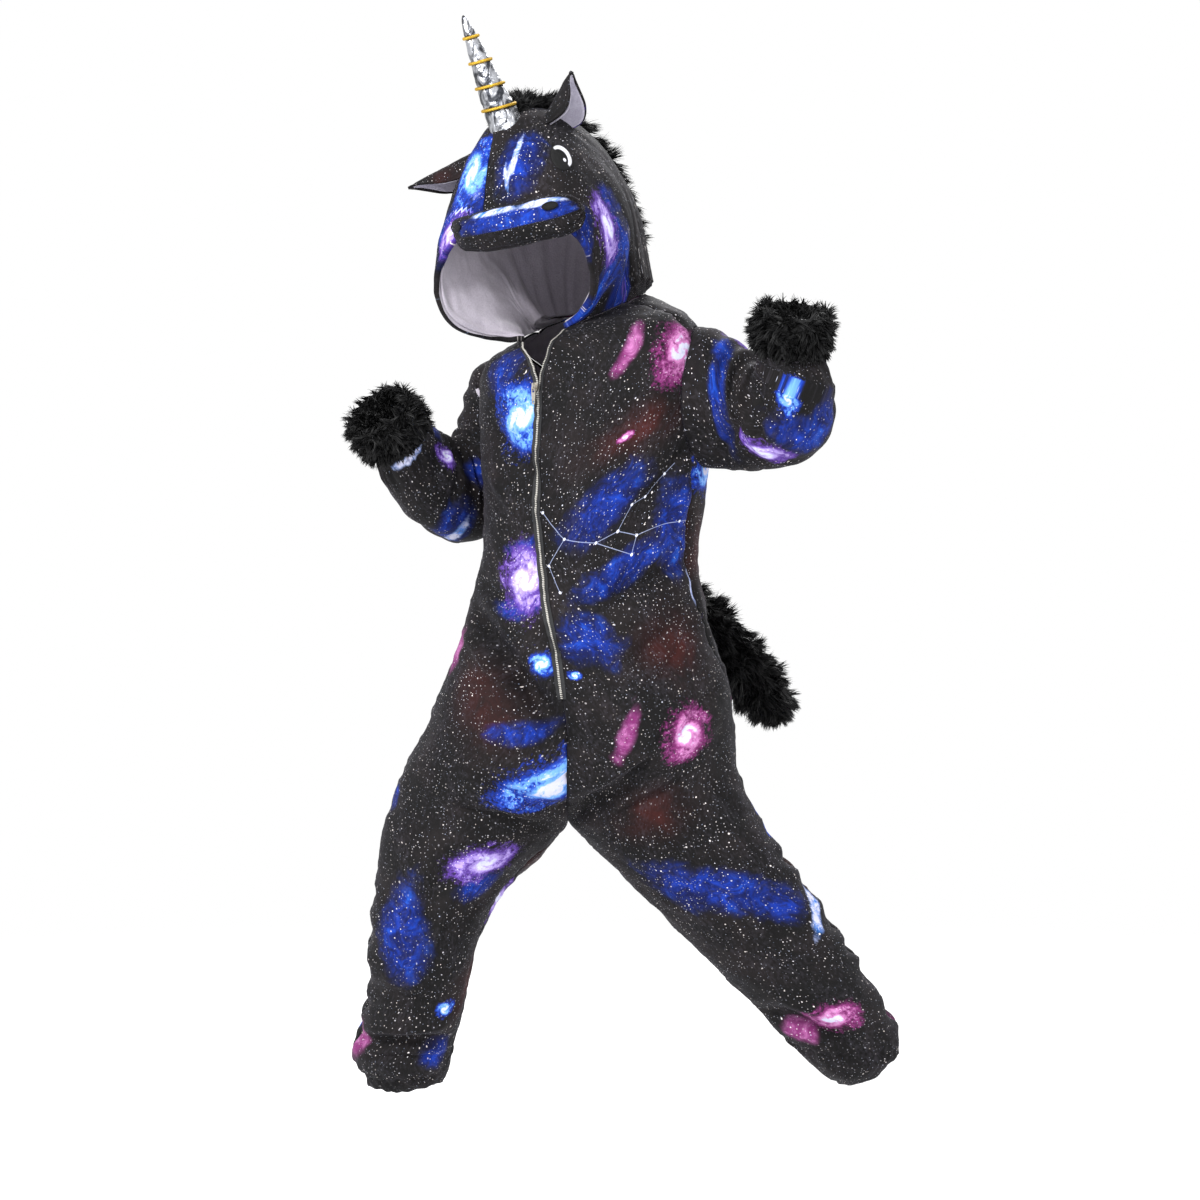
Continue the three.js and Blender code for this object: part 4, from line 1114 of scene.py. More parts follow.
PRINTS: dict[str, list[Galaxy | Cloud]] = {
    "front_right": [
        G(-66, -100, 54, 0.85, 60, Dye.BLUE), G(-60, -301, 52, 0.8, 60, Dye.LILAC),
        G(-41, -402, 22, 0.7, 30, Dye.BLUE), G(-15, -546, 92, 0.5, -18, Dye.BLUE),
        G(-108, -647, 56, 0.5, -5, Dye.LILAC), G(-155, -822, 13, 0.9, 20, Dye.BLUE),
        C(-146, -386, 22, 50, 20, Haze.PINK), C(-208, -733, 40, 78, 0, Haze.BLUE),
        C(-265, -869, 26, 35, 0, Haze.PINK), C(-95, -45, 40, 44, 0, Haze.BLUE),
        C(-110, -455, 60, 40, 40, Haze.EMBER), C(-69, -487, 60, 20, -10, Haze.BLUE),
        C(-112, -674, 50, 24, 0, Haze.BLUE), C(-172, -880, 28, 26, 0, Haze.BLUE),
        C(-222, -568, 16, 24, 0, Haze.BLUE), C(-70, -335, 50, 20, 0, Haze.BLUE),
        C(-60, -262, 50, 14, 0, Haze.BLUE), C(-130, -790, 30, 30, 0, Haze.EMBER),
    ],
    "front_left": [
        G(131, -25, 46, 0.8, 40, Dye.MAGENTA), G(138, -487, 46, 0.75, 50, Dye.MAGENTA),
        G(318, -845, 40, 0.6, 20, Dye.MAGENTA), G(2, -415, 9, 0.8, 10, Dye.BLUE),
        G(60, -126, 10, 0.7, 10, Dye.MAGENTA),
        C(72, -20, 50, 15, 38, Haze.PINK), C(80, -118, 54, 26, 0, Haze.EMBER),
        C(92, -588, 46, 30, 0, Haze.EMBER), C(36, -212, 60, 44, 12, Haze.BLUE),
        C(169, -680, 120, 44, -25, Haze.BLUE), C(255, -695, 40, 40, -50, Haze.BLUE),
        C(22, -376, 44, 46, 0, Haze.BLUE), C(66, -487, 54, 15, 50, Haze.PINK),
        C(276, -863, 34, 24, 0, Haze.PINK), C(300, -712, 15, 58, -40, Haze.WHITE),
        C(120, -380, 50, 40, 0, Haze.EMBER), C(128, -235, 44, 70, 0, Haze.BLUE),
        C(143, -307, 10, 30, 0, Haze.WHITE), C(60, -290, 90, 26, 0, Haze.BLUE),
    ],
    "sleeve_right": [
        G(-160, -145, 24, 0.6, 90, Dye.LILAC), C(-203, -146, 60, 13, 0, Haze.BLUE),
        C(-205, -150, 50, 5, 0, Haze.WHITE), C(-158, -239, 50, 24, 0, Haze.BLUE),
        C(-150, -242, 34, 8, 0, Haze.WHITE), C(-125, -165, 20, 36, 0, Haze.BLUE),
    ],
    "sleeve_left": [
        G(252, -89, 18, 0.9, 0, Dye.BLUE), G(226, -150, 26, 0.7, 50, Dye.LILAC),
        C(172, -80, 60, 24, 0, Haze.BLUE), C(262, -130, 50, 26, 0, Haze.BLUE),
        C(300, -110, 30, 30, 0, Haze.BLUE), C(180, -20, 26, 20, 0, Haze.BLUE),
    ],
    "hood_left": [
        G(42, 123, 46, 0.6, 20, Dye.LILAC), C(60, 75, 50, 40, 0, Haze.BLUE),
        C(43, 162, 30, 26, 0, Haze.BLUE), C(-66, 200, 34, 60, 6, Haze.BLUE),
        C(-70, 215, 5, 40, 6, Haze.WHITE), C(-80, 180, 4, 30, -10, Haze.WHITE),
        C(40, 60, 60, 60, 0, Haze.BLUE), C(10, 100, 30, 40, 0, Haze.BLUE),
    ],
    "hood_right": [
        G(-150, 120, 34, 0.6, 0, Dye.LILAC),
        G(-122, 192, 36, 1.5, -8, Dye.BLUE), C(-119, 185, 15, 40, -10, Haze.WHITE),
        C(-100, 215, 18, 60, 10, Haze.BLUE),
        C(-150, 120, 50, 60, 0, Haze.BLUE), C(-100, 150, 30, 30, 0, Haze.BLUE),
    ],
    "muzzle": [
        C(-98, 137, 48, 9, 0, Haze.WHITE), C(-38, 148, 48, 9, 0, Haze.WHITE),
        C(-115, 124, 50, 22, 0, Haze.BLUE), C(-70, 129, 60, 22, 0, Haze.BLUE),
        C(-25, 138, 45, 22, 0, Haze.BLUE),
    ],
    "ear_left": [G(-10, 270, 29, 0.6, 80, Dye.LILAC), C(-5, 245, 30, 40, 0, Haze.BLUE)],
    "ear_right": [C(-160, 190, 20, 20, 0, Haze.EMBER)],
}

# Where each panel's flat pattern lies on the printed cloth

PATTERN_PLACES = {
    "front_left": (0, 0), "front_right": (600, 0), "back_left": (300, 90),
    "back_right": (900, 90), "hood_left": (1200, 0), "hood_right": (1800, 0),
}


def print_fields(name: str, points: Array, normals: Array, flat: Array) -> dict[str, Array]:
    """Work out what is printed at each point of a piece of cloth.

    Args:
        name: The piece's node, whose own print is used, or else the repeat.
        points: Points on the cloth, as rows.
        normals: Their normals.
        flat: Their places on the flat cloth.

    Returns:
        The galaxy, dye, haze and share of joined stars at each point.
    """
    galaxy = np.full((len(points), 3), 3.0)
    galaxy[:, 2] = 0
    dye = np.zeros(len(points))
    haze = np.zeros((len(points), 4))
    best = np.full(len(points), 9.0)
    seen = np.flatnonzero(normals[:, 1] < 0.15)
    marks = []
    for mark in PRINTS.get(name, []):
        away = np.hypot(points[seen, 0] - mark.x, points[seen, 2] - mark.z)
        marks.append((mark, flat[seen[np.argmin(away)]]))
    low, high = flat.min(axis=0), flat.max(axis=0)
    for i in range(math.floor(low[0] / REPEAT_WIDTH), math.ceil(high[0] / REPEAT_WIDTH)):
        for j in range(math.floor(low[1] / REPEAT_HEIGHT), math.ceil(high[1] / REPEAT_HEIGHT)):
            for mark in REPEAT:
                centre = np.array([i * REPEAT_WIDTH + mark.x, j * REPEAT_HEIGHT + mark.z])
                away = np.linalg.norm(flat - centre, axis=1)
                if name not in PRINTS or (away.min() < 10 and normals[np.argmin(away), 1] > 0.3):
                    marks.append((mark, centre))
    for mark, centre in marks:
        away = flat - centre
        turn = math.radians(mark.turn)
        x = away[:, 0] * math.cos(turn) + away[:, 1] * math.sin(turn)
        y = away[:, 1] * math.cos(turn) - away[:, 0] * math.sin(turn)
        if isinstance(mark, Galaxy):
            x, y = x / mark.radius, y / (mark.radius * mark.stretch)
            reach = np.hypot(x, y)
            closer = reach < best
            best[closer] = reach[closer]
            galaxy[closer] = np.stack([x, y, 1 - rise(reach, 1.1, 1.7)], axis=1)[closer]
            dye[closer] = mark.dye.value
        else:
            reach = np.hypot(x / mark.wide, y / mark.high)
            channel = haze[:, mark.haze.value]
            np.maximum(channel, np.exp(-1.3 * reach**2), out=channel)
    joined = np.full(len(points), float(name == "front_left"))
    return {"galaxy": galaxy, "dye": dye, "haze": haze, "joined": joined}


# Meshes


@dataclass
class Solid:
    """A mesh in the making: its points, faces and what each point carries."""

    points: Array
    faces: list[Sequence[int]]
    flat: Array | None = None
    fields: dict[str, Array] = field(default_factory=dict)
    slots: Array | None = None

    def data(self, name: str) -> bpy.types.Mesh:
        """Make the Blender mesh with its attributes.

        Args:
            name: The mesh's name.

        Returns:
            The mesh, in metres.
        """
        mesh = bpy.data.meshes.new(name)
        mesh.from_pydata((self.points * METRES).tolist(), [], self.faces)
        mesh.polygons.foreach_set("use_smooth", np.ones(len(mesh.polygons), dtype=bool))
        if self.slots is not None:
            mesh.polygons.foreach_set("material_index", self.slots.astype(np.int32))
        self.write_fields(mesh)
        mesh.update()
        return mesh

    def write_fields(self, mesh: bpy.types.Mesh) -> None:
        """Write the flat coordinates and other fields on a mesh with the same points.

        Args:
            mesh: The mesh to write on.
        """
        if self.flat is not None:
            corners = np.zeros(len(mesh.loops), dtype=np.int32)
            mesh.loops.foreach_get("vertex_index", corners)
            layer = mesh.uv_layers.new(name="cloth")
            layer.uv.foreach_set("vector", (self.flat[corners] * METRES).astype(np.float32).ravel())
        kinds = {1: ("FLOAT", "value"), 3: ("FLOAT_VECTOR", "vector"), 4: ("FLOAT_COLOR", "color")}
        for name, values in self.fields.items():
            kind, key = kinds[1 if values.ndim == 1 else values.shape[1]]
            attribute = mesh.attributes.new(name, kind, "POINT")
            attribute.data.foreach_set(key, values.astype(np.float32).ravel())


def grid_faces(rows: int, columns: int, wrapped: bool, flip: bool = False, start: int = 0) -> list:
    """List the quads of a grid.

    Args:
        rows: Rows of points.
        columns: Columns of points.
        wrapped: Whether the last column meets the first one.
        flip: Whether to turn the quads over.
        start: The first point's number.

    Returns:
        Four point numbers for each quad.
    """
    spans = columns if wrapped else columns - 1
    i, j = np.meshgrid(np.arange(rows - 1), np.arange(spans), indexing="ij")
    near, far = i * columns + j, i * columns + (j + 1) % columns
    quads = np.stack([near, far, far + columns, near + columns], axis=-1).reshape(-1, 4) + start
    return (quads[:, ::-1] if flip else quads).tolist()


def wall(outer: Array, inner: Array, wrapped: bool = False) -> Solid:
    """Close a wall between two grids.

    Args:
        outer: The outer points.
        inner: The inner points.
        wrapped: Whether the grids are tubes.

    Returns:
        The wall, whose inner faces are in the second slot.
    """
    rows, columns = outer.shape[:2]
    count = rows * columns
    faces = grid_faces(rows, columns, wrapped)
    skin = len(faces)
    faces += grid_faces(rows, columns, wrapped, True, count)
    edges = []
    spans = columns if wrapped else columns - 1
    for j in range(spans):
        k = (j + 1) % columns
        edges.append((k, j, j + count, k + count))
        low = (rows - 1) * columns
        edges.append((low + j, low + k, low + k + count, low + j + count))
    if not wrapped:
        for i in range(rows - 1):
            a, b = i * columns, (i + 1) * columns
            edges.append((a, b, b + count, a + count))
            a, b = a + columns - 1, b + columns - 1
            edges.append((b, a, a + count, b + count))
    slots = np.zeros(len(faces) + len(edges), dtype=int)
    slots[skin:len(faces)] = 1
    points = np.concatenate([outer.reshape(-1, 3), inner.reshape(-1, 3)])
    return outward(Solid(points, faces + edges, slots=slots))


def both_faces(solid: Solid, flat: Array, fields: dict[str, Array]) -> Solid:
    """Give a wall's inner points the same places and fields as its outer ones.

    Args:
        solid: The wall.
        flat: The outer points' places on the flat cloth.
        fields: What each outer point carries.

    Returns:
        The wall with all that its points carry.
    """
    doubled = {key: np.concatenate([values, values]) for key, values in fields.items()}
    return Solid(solid.points, solid.faces, np.concatenate([flat, flat]), doubled, solid.slots)


def closed_ring(grid: Array) -> Solid:
    """Close a grid both ways, so that its last row and column meet the first ones.

    Args:
        grid: Points in rows and columns.

    Returns:
        The ring.
    """
    rows, columns = grid.shape[:2]
    quads = grid_faces(rows + 1, columns, True)
    faces = [[number % (rows * columns) for number in quad] for quad in quads]
    return outward(Solid(grid.reshape(-1, 3), faces))


def loft(rings: Array) -> Solid:
    """Fill a solid through closed rings.

    Args:
        rings: Points in rings and columns.

    Returns:
        The solid, with a fan over each end.
    """
    rows, columns = rings.shape[:2]
    points = np.concatenate([rings.reshape(-1, 3), [rings[0].mean(axis=0)], [rings[-1].mean(axis=0)]])
    faces: list[Sequence[int]] = grid_faces(rows, columns, True)
    last = (rows - 1) * columns
    for j in range(columns):
        k = (j + 1) % columns
        faces.append((k, j, rows * columns))
        faces.append((last + j, last + k, rows * columns + 1))
    return outward(Solid(points, faces))


def outward(solid: Solid) -> Solid:
    """Turn a closed solid's faces outwards.

    Args:
        solid: The solid, whose faces agree with each other.

    Returns:
        The same solid.
    """
    first = np.array([face[:3] for face in solid.faces])
    a, b, c = (solid.points[first[:, k]] for k in range(3))
    last = solid.points[np.array([face[-1] for face in solid.faces])]
    volume = np.einsum("ij,ij->i", a, np.cross(b, c)).sum() + np.einsum(
        "ij,ij->i", a, np.cross(c, last)
    ).sum()
    if volume < 0:
        solid.faces = [tuple(face)[::-1] for face in solid.faces]
    return solid


def make(name: str, solid: Solid, *materials: Material) -> Piece:
    """Put a solid in the scene.

    Args:
        name: The piece's name.
        solid: Its mesh in the making.
        *materials: Its materials, in the order of its slots.

    Returns:
        The new object.
    """
    piece = bpy.data.objects.new(name, solid.data(name))
    bpy.context.scene.collection.objects.link(piece)
    for material in materials:
        piece.data.materials.append(material)
    return piece


def search_tree(points: Array) -> KDTree:
    """Make a tree for finding the nearest of some points.

    Args:
        points: The points, as rows.

    Returns:
        The tree.
    """
    tree = KDTree(len(points))
    for number, point in enumerate(points):
        tree.insert(point, number)
    tree.balance()
    return tree


def carve(piece: Piece, cutter: Solid, source: Solid) -> None:
    """Cut a solid from a piece, keep its largest part, and carry its fields over.

    Args:
        piece: The piece, which has no fields yet.
        cutter: The solid to cut away.
        source: The piece's own points with the fields that each carries.
    """
    tool = make("cutter", cutter)
    modifier = piece.modifiers.new("cut", "BOOLEAN")
    modifier.operation, modifier.object, modifier.solver = "DIFFERENCE", tool, "MANIFOLD"
    depsgraph = bpy.context.evaluated_depsgraph_get()
    mesh = bpy.data.meshes.new_from_object(piece.evaluated_get(depsgraph))
    piece.modifiers.clear()
    old, piece.data = piece.data, mesh
    bpy.data.meshes.remove(old)
    bpy.data.objects.remove(tool)
    keep_largest(piece.data)
    piece.data.name = piece.name
    tree = search_tree(source.points * METRES)
    nearest = np.array([tree.find(v.co)[1] for v in piece.data.vertices])
    flat = None if source.flat is None else source.flat[nearest]
    carried = {key: values[nearest] for key, values in source.fields.items()}
    Solid(source.points, [], flat, carried).write_fields(piece.data)
    count = len(piece.data.polygons)
    piece.data.polygons.foreach_set("use_smooth", np.ones(count, dtype=bool))


def keep_largest(mesh: bpy.types.Mesh) -> None:
    """Remove all of a mesh but its largest connected part.

    Args:
        mesh: The mesh to trim.
    """
    work = bmesh.new()
    work.from_mesh(mesh)
    unseen = set(work.verts)
    parts = []
    while unseen:
        part, edge = set(), [unseen.pop()]
        while edge:
            vertex = edge.pop()
            part.add(vertex)
            for link in vertex.link_edges:
                other = link.other_vert(vertex)
                if other in unseen:
                    unseen.discard(other)
                    edge.append(other)
        parts.append(part)
    parts.sort(key=len)
    for part in parts[:-1]:
        bmesh.ops.delete(work, geom=list(part), context="VERTS")
    work.to_mesh(mesh)
    work.free()


def dress(piece: Piece, slot: str, *nodes: str, body: str = "garment") -> None:
    """Make a piece ride the garment, stand for its nodes and name its slot.

    Args:
        piece: The piece.
        slot: The record's material slot.
        *nodes: The nodes that it stands for.
        body: The body that it rides.
    """
    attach(piece, body)
    if nodes:
        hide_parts(*nodes)
    log.info("%s: %d faces", piece.name, len(piece.data.polygons))


def declare_sheet(piece: Piece, held: Held, flat: Array) -> None:
    """Declare a piece as cloth, cut to the size of its flat pattern.

    Args:
        piece: The piece.
        held: How it is held.
        flat: Its points on the flat pattern, in millimetres.
        rests_on: The nodes that it is sewn to.
    """
    width, length = (flat.max(axis=0) - flat.min(axis=0)) * METRES
    skin = sum(polygon.area for polygon in piece.data.polygons) / 2
    area = min(max(skin, 0.31 * width * length), width * length)
    log.info("%s is cut from %.2f x %.2f m, %.3f m2", piece.name, width, length, area)


def dress_plush(node: str, solid: Solid, outside: Array, normals: Array, flat: Array,
                cutter: Solid, held: Held) -> None:
    """Print, cut and declare one piece of plush cloth.

    Args:
        node: The node that it stands for.
        solid: Its wall.
        outside: The points of its outside.
        normals: Their normals.
        flat: Their places on the flat cloth, as rows.
        cutter: The solid to cut away.
        held: How it is held.
        rests_on: The nodes that it is sewn to.
    """
    fields = print_fields(node, outside.reshape(-1, 3), normals.reshape(-1, 3), flat)
    piece = make(f"{node}_cloth", solid, finish(PrintedPlush), finish(Fleece))
    carve(piece, cutter, both_faces(solid, flat, fields))
    dress(piece, "printed_plush", node)
    declare_sheet(piece, held, flat)


def dress_plain(name: str, solid: Solid, kind: type, slot: str, *nodes: str) -> Piece:
    """Make and dress a piece that has one finish.

    Args:
        name: The piece's name.
        solid: Its mesh in the making.
        kind: Its finish's class.
        slot: The record's material slot.
        *nodes: The nodes that it stands for.

    Returns:
        The new object.
    """
    if solid.slots is not None:
        solid.slots[:] = 0
    piece = make(name, solid, finish(kind))
    dress(piece, slot, *nodes)
    return piece


# Body


@dataclass
class Body:
    """The two fronts and two backs, from the neck to the ankles, and the space inside them."""

    step: float = 5.0
    half_columns: int = 44
    core_end: float = -460.0
    trunk: Table = Table(
        "x y z depth yaw rise branch vee widthLeft tiltLeft widthRight tiltRight", [
            [11, -8, 24, 84, 40, 30, 0, 34, 74, 15, 76, -6],
            [15, -7, 9, 94, 40, 22, 0, 26, 106, 15, 108, -5],
            [19, -6, -8, 102, 39, 14, 0, 17, 137, 13, 138, -3],
            [23, -5, -32, 109, 38, 7, 0, 8, 156, 10, 157, -2],
            [25, -5, -62, 113, 38, 3, 0, 0, 160, 6, 162, 0],
            [26, -5, -105, 117, 37, 0, 0, 0, 157, 2, 160, 0],
            [25, -5, -155, 121, 37, 0, 0, 0, 152, 0, 154, 0],
            [24, -4, -210, 121, 36, 0, 0, 0, 144, 0, 147, 0],
            [20, -2, -270, 118, 31, 0, 0, 0, 138, 0, 143, 0],
            [16, 0, -330, 125, 24, 0, 0, 0, 149, 0, 150, 0],
            [12, 0, -390, 135, 15, 0, 0, 0, 165, 3, 164, 0],
            [9, 0, -450, 140, 9, 0, 0.08, 0, 185, 9, 180, 2],
            [3, 0, -505, 140, 5, 0, 0.28, 0, 202, 17, 193, 5],
            [-3, 0, -550, 138, 3, 0, 0.55, 0, 218, 24, 206, 9],
            [-7, 0, -580, 132, 1, 0, 0.8, 0, 230, 27, 212, 11],
        ])
    legs: dict[Side, Table] = field(default_factory=lambda: {
        Side.LEFT: Table("innerX innerZ outerX outerZ y depth", [
            [-9, -602, 201, -490, 0, 120],
            [44, -653, 206, -543, -8, 98],
            [107, -716, 241, -613, -12, 84],
            [158, -767, 284, -673, -8, 76],
            [219, -826, 331, -742, 8, 68],
            [254, -867, 360, -787, 22, 64],
            [290, -902, 390, -834, 35, 60],
            [312, -922, 409, -872, 44, 54],
            [328, -932, 399, -903, 50, 38],
        ]),
        Side.RIGHT: Table("innerX innerZ outerX outerZ y depth", [
            [-9, -602, -224, -557, 0, 120],
            [-35, -633, -238, -611, -20, 104],
            [-67, -659, -244, -648, -35, 92],
            [-93, -690, -247, -689, -50, 84],
            [-110, -722, -251, -730, -65, 78],
            [-122, -757, -252, -762, -75, 73],
            [-131, -805, -253, -799, -65, 68],
            [-140, -844, -264, -844, -45, 68],
            [-147, -868, -274, -873, -35, 68],
            [-155, -900, -267, -902, -24, 58],
            [-163, -920, -256, -924, -20, 42],
        ]),
    })

    def trunk_stations(self, side: Side) -> Array:
        """Turn the trunk's table into stations.

        Args:
            side: The side.

        Returns:
            Rows of pivot, outward vector, backward vector, branch and vee.
        """
        t, s = self.trunk, side.value
        yaw = np.radians(t["yaw"])
        tilt = np.radians(t["tiltLeft"] if side is Side.LEFT else t["tiltRight"])
        width = t["widthLeft"] if side is Side.LEFT else t["widthRight"]
        across, front = np.cos(yaw) * np.cos(tilt), np.sin(yaw) * np.cos(tilt)
        out = np.stack([s * across, -s * front, np.sin(tilt)], 1)
        back = np.stack([t["depth"] * np.sin(yaw), t["depth"] * np.cos(yaw), t["rise"]], 1)
        return np.concatenate(
            [t.points("x y z"), out * width[:, None], back, t.points("branch vee")], axis=1)

    def leg_stations(self, side: Side) -> Array:
        """Turn a leg's table into stations.

        Args:
            side: The side.

        Returns:
            Rows as trunk_stations gives.
        """
        t = self.legs[side]
        pivot = t.points("innerX y innerZ")
        out = t.points("outerX y outerZ") - pivot
        centre = pivot + out / 2
        rows = np.arange(len(centre))
        travel = centre[np.minimum(rows + 1, rows[-1])] - centre[np.maximum(rows - 1, 0)]
        back = unit(np.cross(out, travel))
        back[0] = (0, 1, 0)
        back *= np.where(back[:, 1:2] < 0, -1, 1) * t["depth"][:, None]
        one = np.ones((len(rows), 1))
        return np.concatenate([pivot, out, back, one, 0 * one], axis=1)

    def side_grid(self, side: Side) -> Array:
        """Lay out one side's points, from the front middle over the side seam to the back.

        Args:
            side: The side.

        Returns:
            Points in rows and columns.
        """
        trunks = {s: self.trunk_stations(s) for s in Side}
        rows = np.concatenate([trunks[side], self.leg_stations(side)])
        spans = np.maximum(
            np.linalg.norm(np.diff(rows[:, 0:3], axis=0), axis=1),
            np.linalg.norm(np.diff(rows[:, 0:3] + rows[:, 3:6], axis=0), axis=1),
        )
        for trunk in trunks.values():
            outer = trunk[:, 0:3] + trunk[:, 3:6]
            count = len(trunk) - 1
            spans[:count] = np.maximum(spans[:count], np.linalg.norm(np.diff(outer, axis=0), axis=1))
        spans[len(self.trunk.rows) - 1] = 60.0
        places = fine_places(spans, self.step)
        self.crotch = int(np.searchsorted(places, len(self.trunk.rows)))
        fine = curve(rows, places)
        branch = np.clip(fine[:, 9], 0, 1)
        reach = np.arccos(-branch)
        vee = np.arcsin(np.maximum(fine[:, 10], 0) / np.linalg.norm(fine[:, 3:6], axis=1))
        share = np.linspace(-1, 1, 2 * self.half_columns + 1)[None, :]
        angle = share * np.where(share < 0, (reach - vee)[:, None], reach[:, None])
        outwards = (branch[:, None] + np.cos(angle)) / (1 + branch[:, None])
        pivot, out, back = (fine[:, None, k:k + 3] for k in (0, 3, 6))
        self.pivots = fine[:, 2]
        self.vees = fine[:, 10]
        return pivot + out * outwards[..., None] + back * np.sin(angle)[..., None]

    def shared_normals(self) -> None:
        """Work out both sides' normals, which agree along the seams between them."""
        self.normals = {}
        for side, grid in self.grids.items():
            normals = grid_normals(grid)
            middle = self.half_columns
            out = grid[10, middle] - grid[10, 0]
            self.normals[side] = normals * np.sign(normals[10, middle] @ out)
        left, right = self.normals[Side.LEFT], self.normals[Side.RIGHT]
        for i in range(self.crotch + 1):
            columns = [-1] if self.vees[i] > 0 else [0, -1]
            for j in columns:
                left[i, j] = right[i, j] = unit(left[i, j] + right[i, j])
        for normals in (left, right):
            below = slice(self.crotch + 1, None)
            joined = unit(normals[below, 0] + normals[below, -1])
            normals[below, 0] = normals[below, -1] = joined

    def relief(self, side: Side) -> Array:
        """Work out the folds, creases, seams and gathers.

        Args:
            side: The side.

        Returns:
            The height over the plain surface at each point.
        """
        grid, normals = self.grids[side], self.normals[side]
        down = self.down[side]
        across = self.across[side]
        height = 1.2 * fold_height(grid, normals, FOLDS) + 1.7 * fold_height(grid, normals, CREASES)
        seed = 11 if side is Side.LEFT else 12
        slack = Wrinkle(seed, 46, 18).at(across + 0.5 * down, down - 0.4 * across)
        height += 2.4 * slack * (0.4 + 0.6 * rise(-grid[..., 2], 200, 330))
        height += 1.1 * Wrinkle(seed + 10, 17, 12).at(across, down)
        for column, depth, reach in ((0, 1.6, 5.0), (-1, 2.0, 6.0), (self.half_columns, 2.6, 6.0)):
            away = np.abs(across - across[:, [column]])
            pucker = 0.7 * np.sin(down / 3.4 + 1.7 * np.sin(down / 9.0)) * np.exp(-away / 16)
            height += pucker - depth * np.exp(-((away / reach) ** 2))
        left_over = down[-1].min() - down
        gather = np.sin(across / 2.6 + 1.3 * np.sin(across / 9.0))
        height += 2.2 * gather * np.exp(-((left_over - 16) / 20) ** 2)
        height -= 3.0 * np.exp(-((left_over - 20) / 5) ** 2)
        calf = rise(down, down[self.crotch].mean() + 60, down[self.crotch].mean() + 120)
        side_seam = np.exp(-((across - across[:, [self.half_columns]]) / 24) ** 2)
        height += 3.6 * calf * side_seam * np.sin(down / 7.5 + 0.9 * np.sin(down / 21))
        height[0] = np.minimum(height[0], 0)
        return height

    def build(self) -> None:
        """Work out both sides' surfaces."""
        self.grids = {side: self.side_grid(side) for side in Side}
        self.shared_normals()
        self.down = {side: arc_lengths(grid, 0) for side, grid in self.grids.items()}
        self.across = {}
        for side, grid in self.grids.items():
            lengths = arc_lengths(grid, 1)
            self.across[side] = lengths - lengths[:, [self.half_columns]]
        heights = {side: self.relief(side) for side in Side}
        for side in Side:
            moved = self.grids[side] + self.normals[side] * heights[side][..., None]
            self.grids[side] = uncrossed(moved)
        self.plain_normals = self.normals
        self.shared_normals()

    def panel(self, side: Side, first: int, last: int) -> tuple[Array, Array]:
        """Take a panel's outer and inner points, drawn back from its seams.

        Args:
            side: The side.
            first: The panel's first column.
            last: The panel's last column.

        Returns:
            The outer and the inner grid.
        """
        outer = self.grids[side][:, first:last + 1].copy()
        inner = outer - CLOTH * self.normals[side][:, first:last + 1]
        for grid in (outer, inner):
            for edge, inside in ((0, 1), (-1, -2)):
                grid[:, edge] += SEAM * unit(grid[:, inside] - grid[:, edge])
            grid[: self.crotch + 1, :, 0] += side.value * SEAM
        return outer, inner

    def core(self, clearance: float) -> Solid:
        """Fill the trunk, for cutting the sleeves.

        Args:
            clearance: How much larger it is than the trunk.

        Returns:
            The solid.
        """
        rows = int(np.sum(self.pivots[: self.crotch] > self.core_end))
        grown = {s: (self.grids[s] + clearance * self.normals[s])[:rows] for s in Side}
        return loft(np.concatenate([grown[Side.LEFT], grown[Side.RIGHT][:, -2::-1]], axis=1))

    def dress_panels(self, cutters: dict[Side, Solid]) -> None:
        """Make the four panels.

        Args:
            cutters: The space of each sleeve.
        """
        half = self.half_columns
        for part, first, last in (("front", 0, half), ("back", half, 2 * half)):
            for side in Side:
                node = f"{part}_{side.word}"
                outer, inner = self.panel(side, first, last)
                span = slice(first, last + 1)
                flat = paired(self.across[side][:, span], -self.down[side][:, span])
                dress_plush(node, wall(outer, inner), outer, self.normals[side][:, span],
                            flat + PATTERN_PLACES[node], cutters[side], Held.DRAPED)


# Sleeves and cuffs


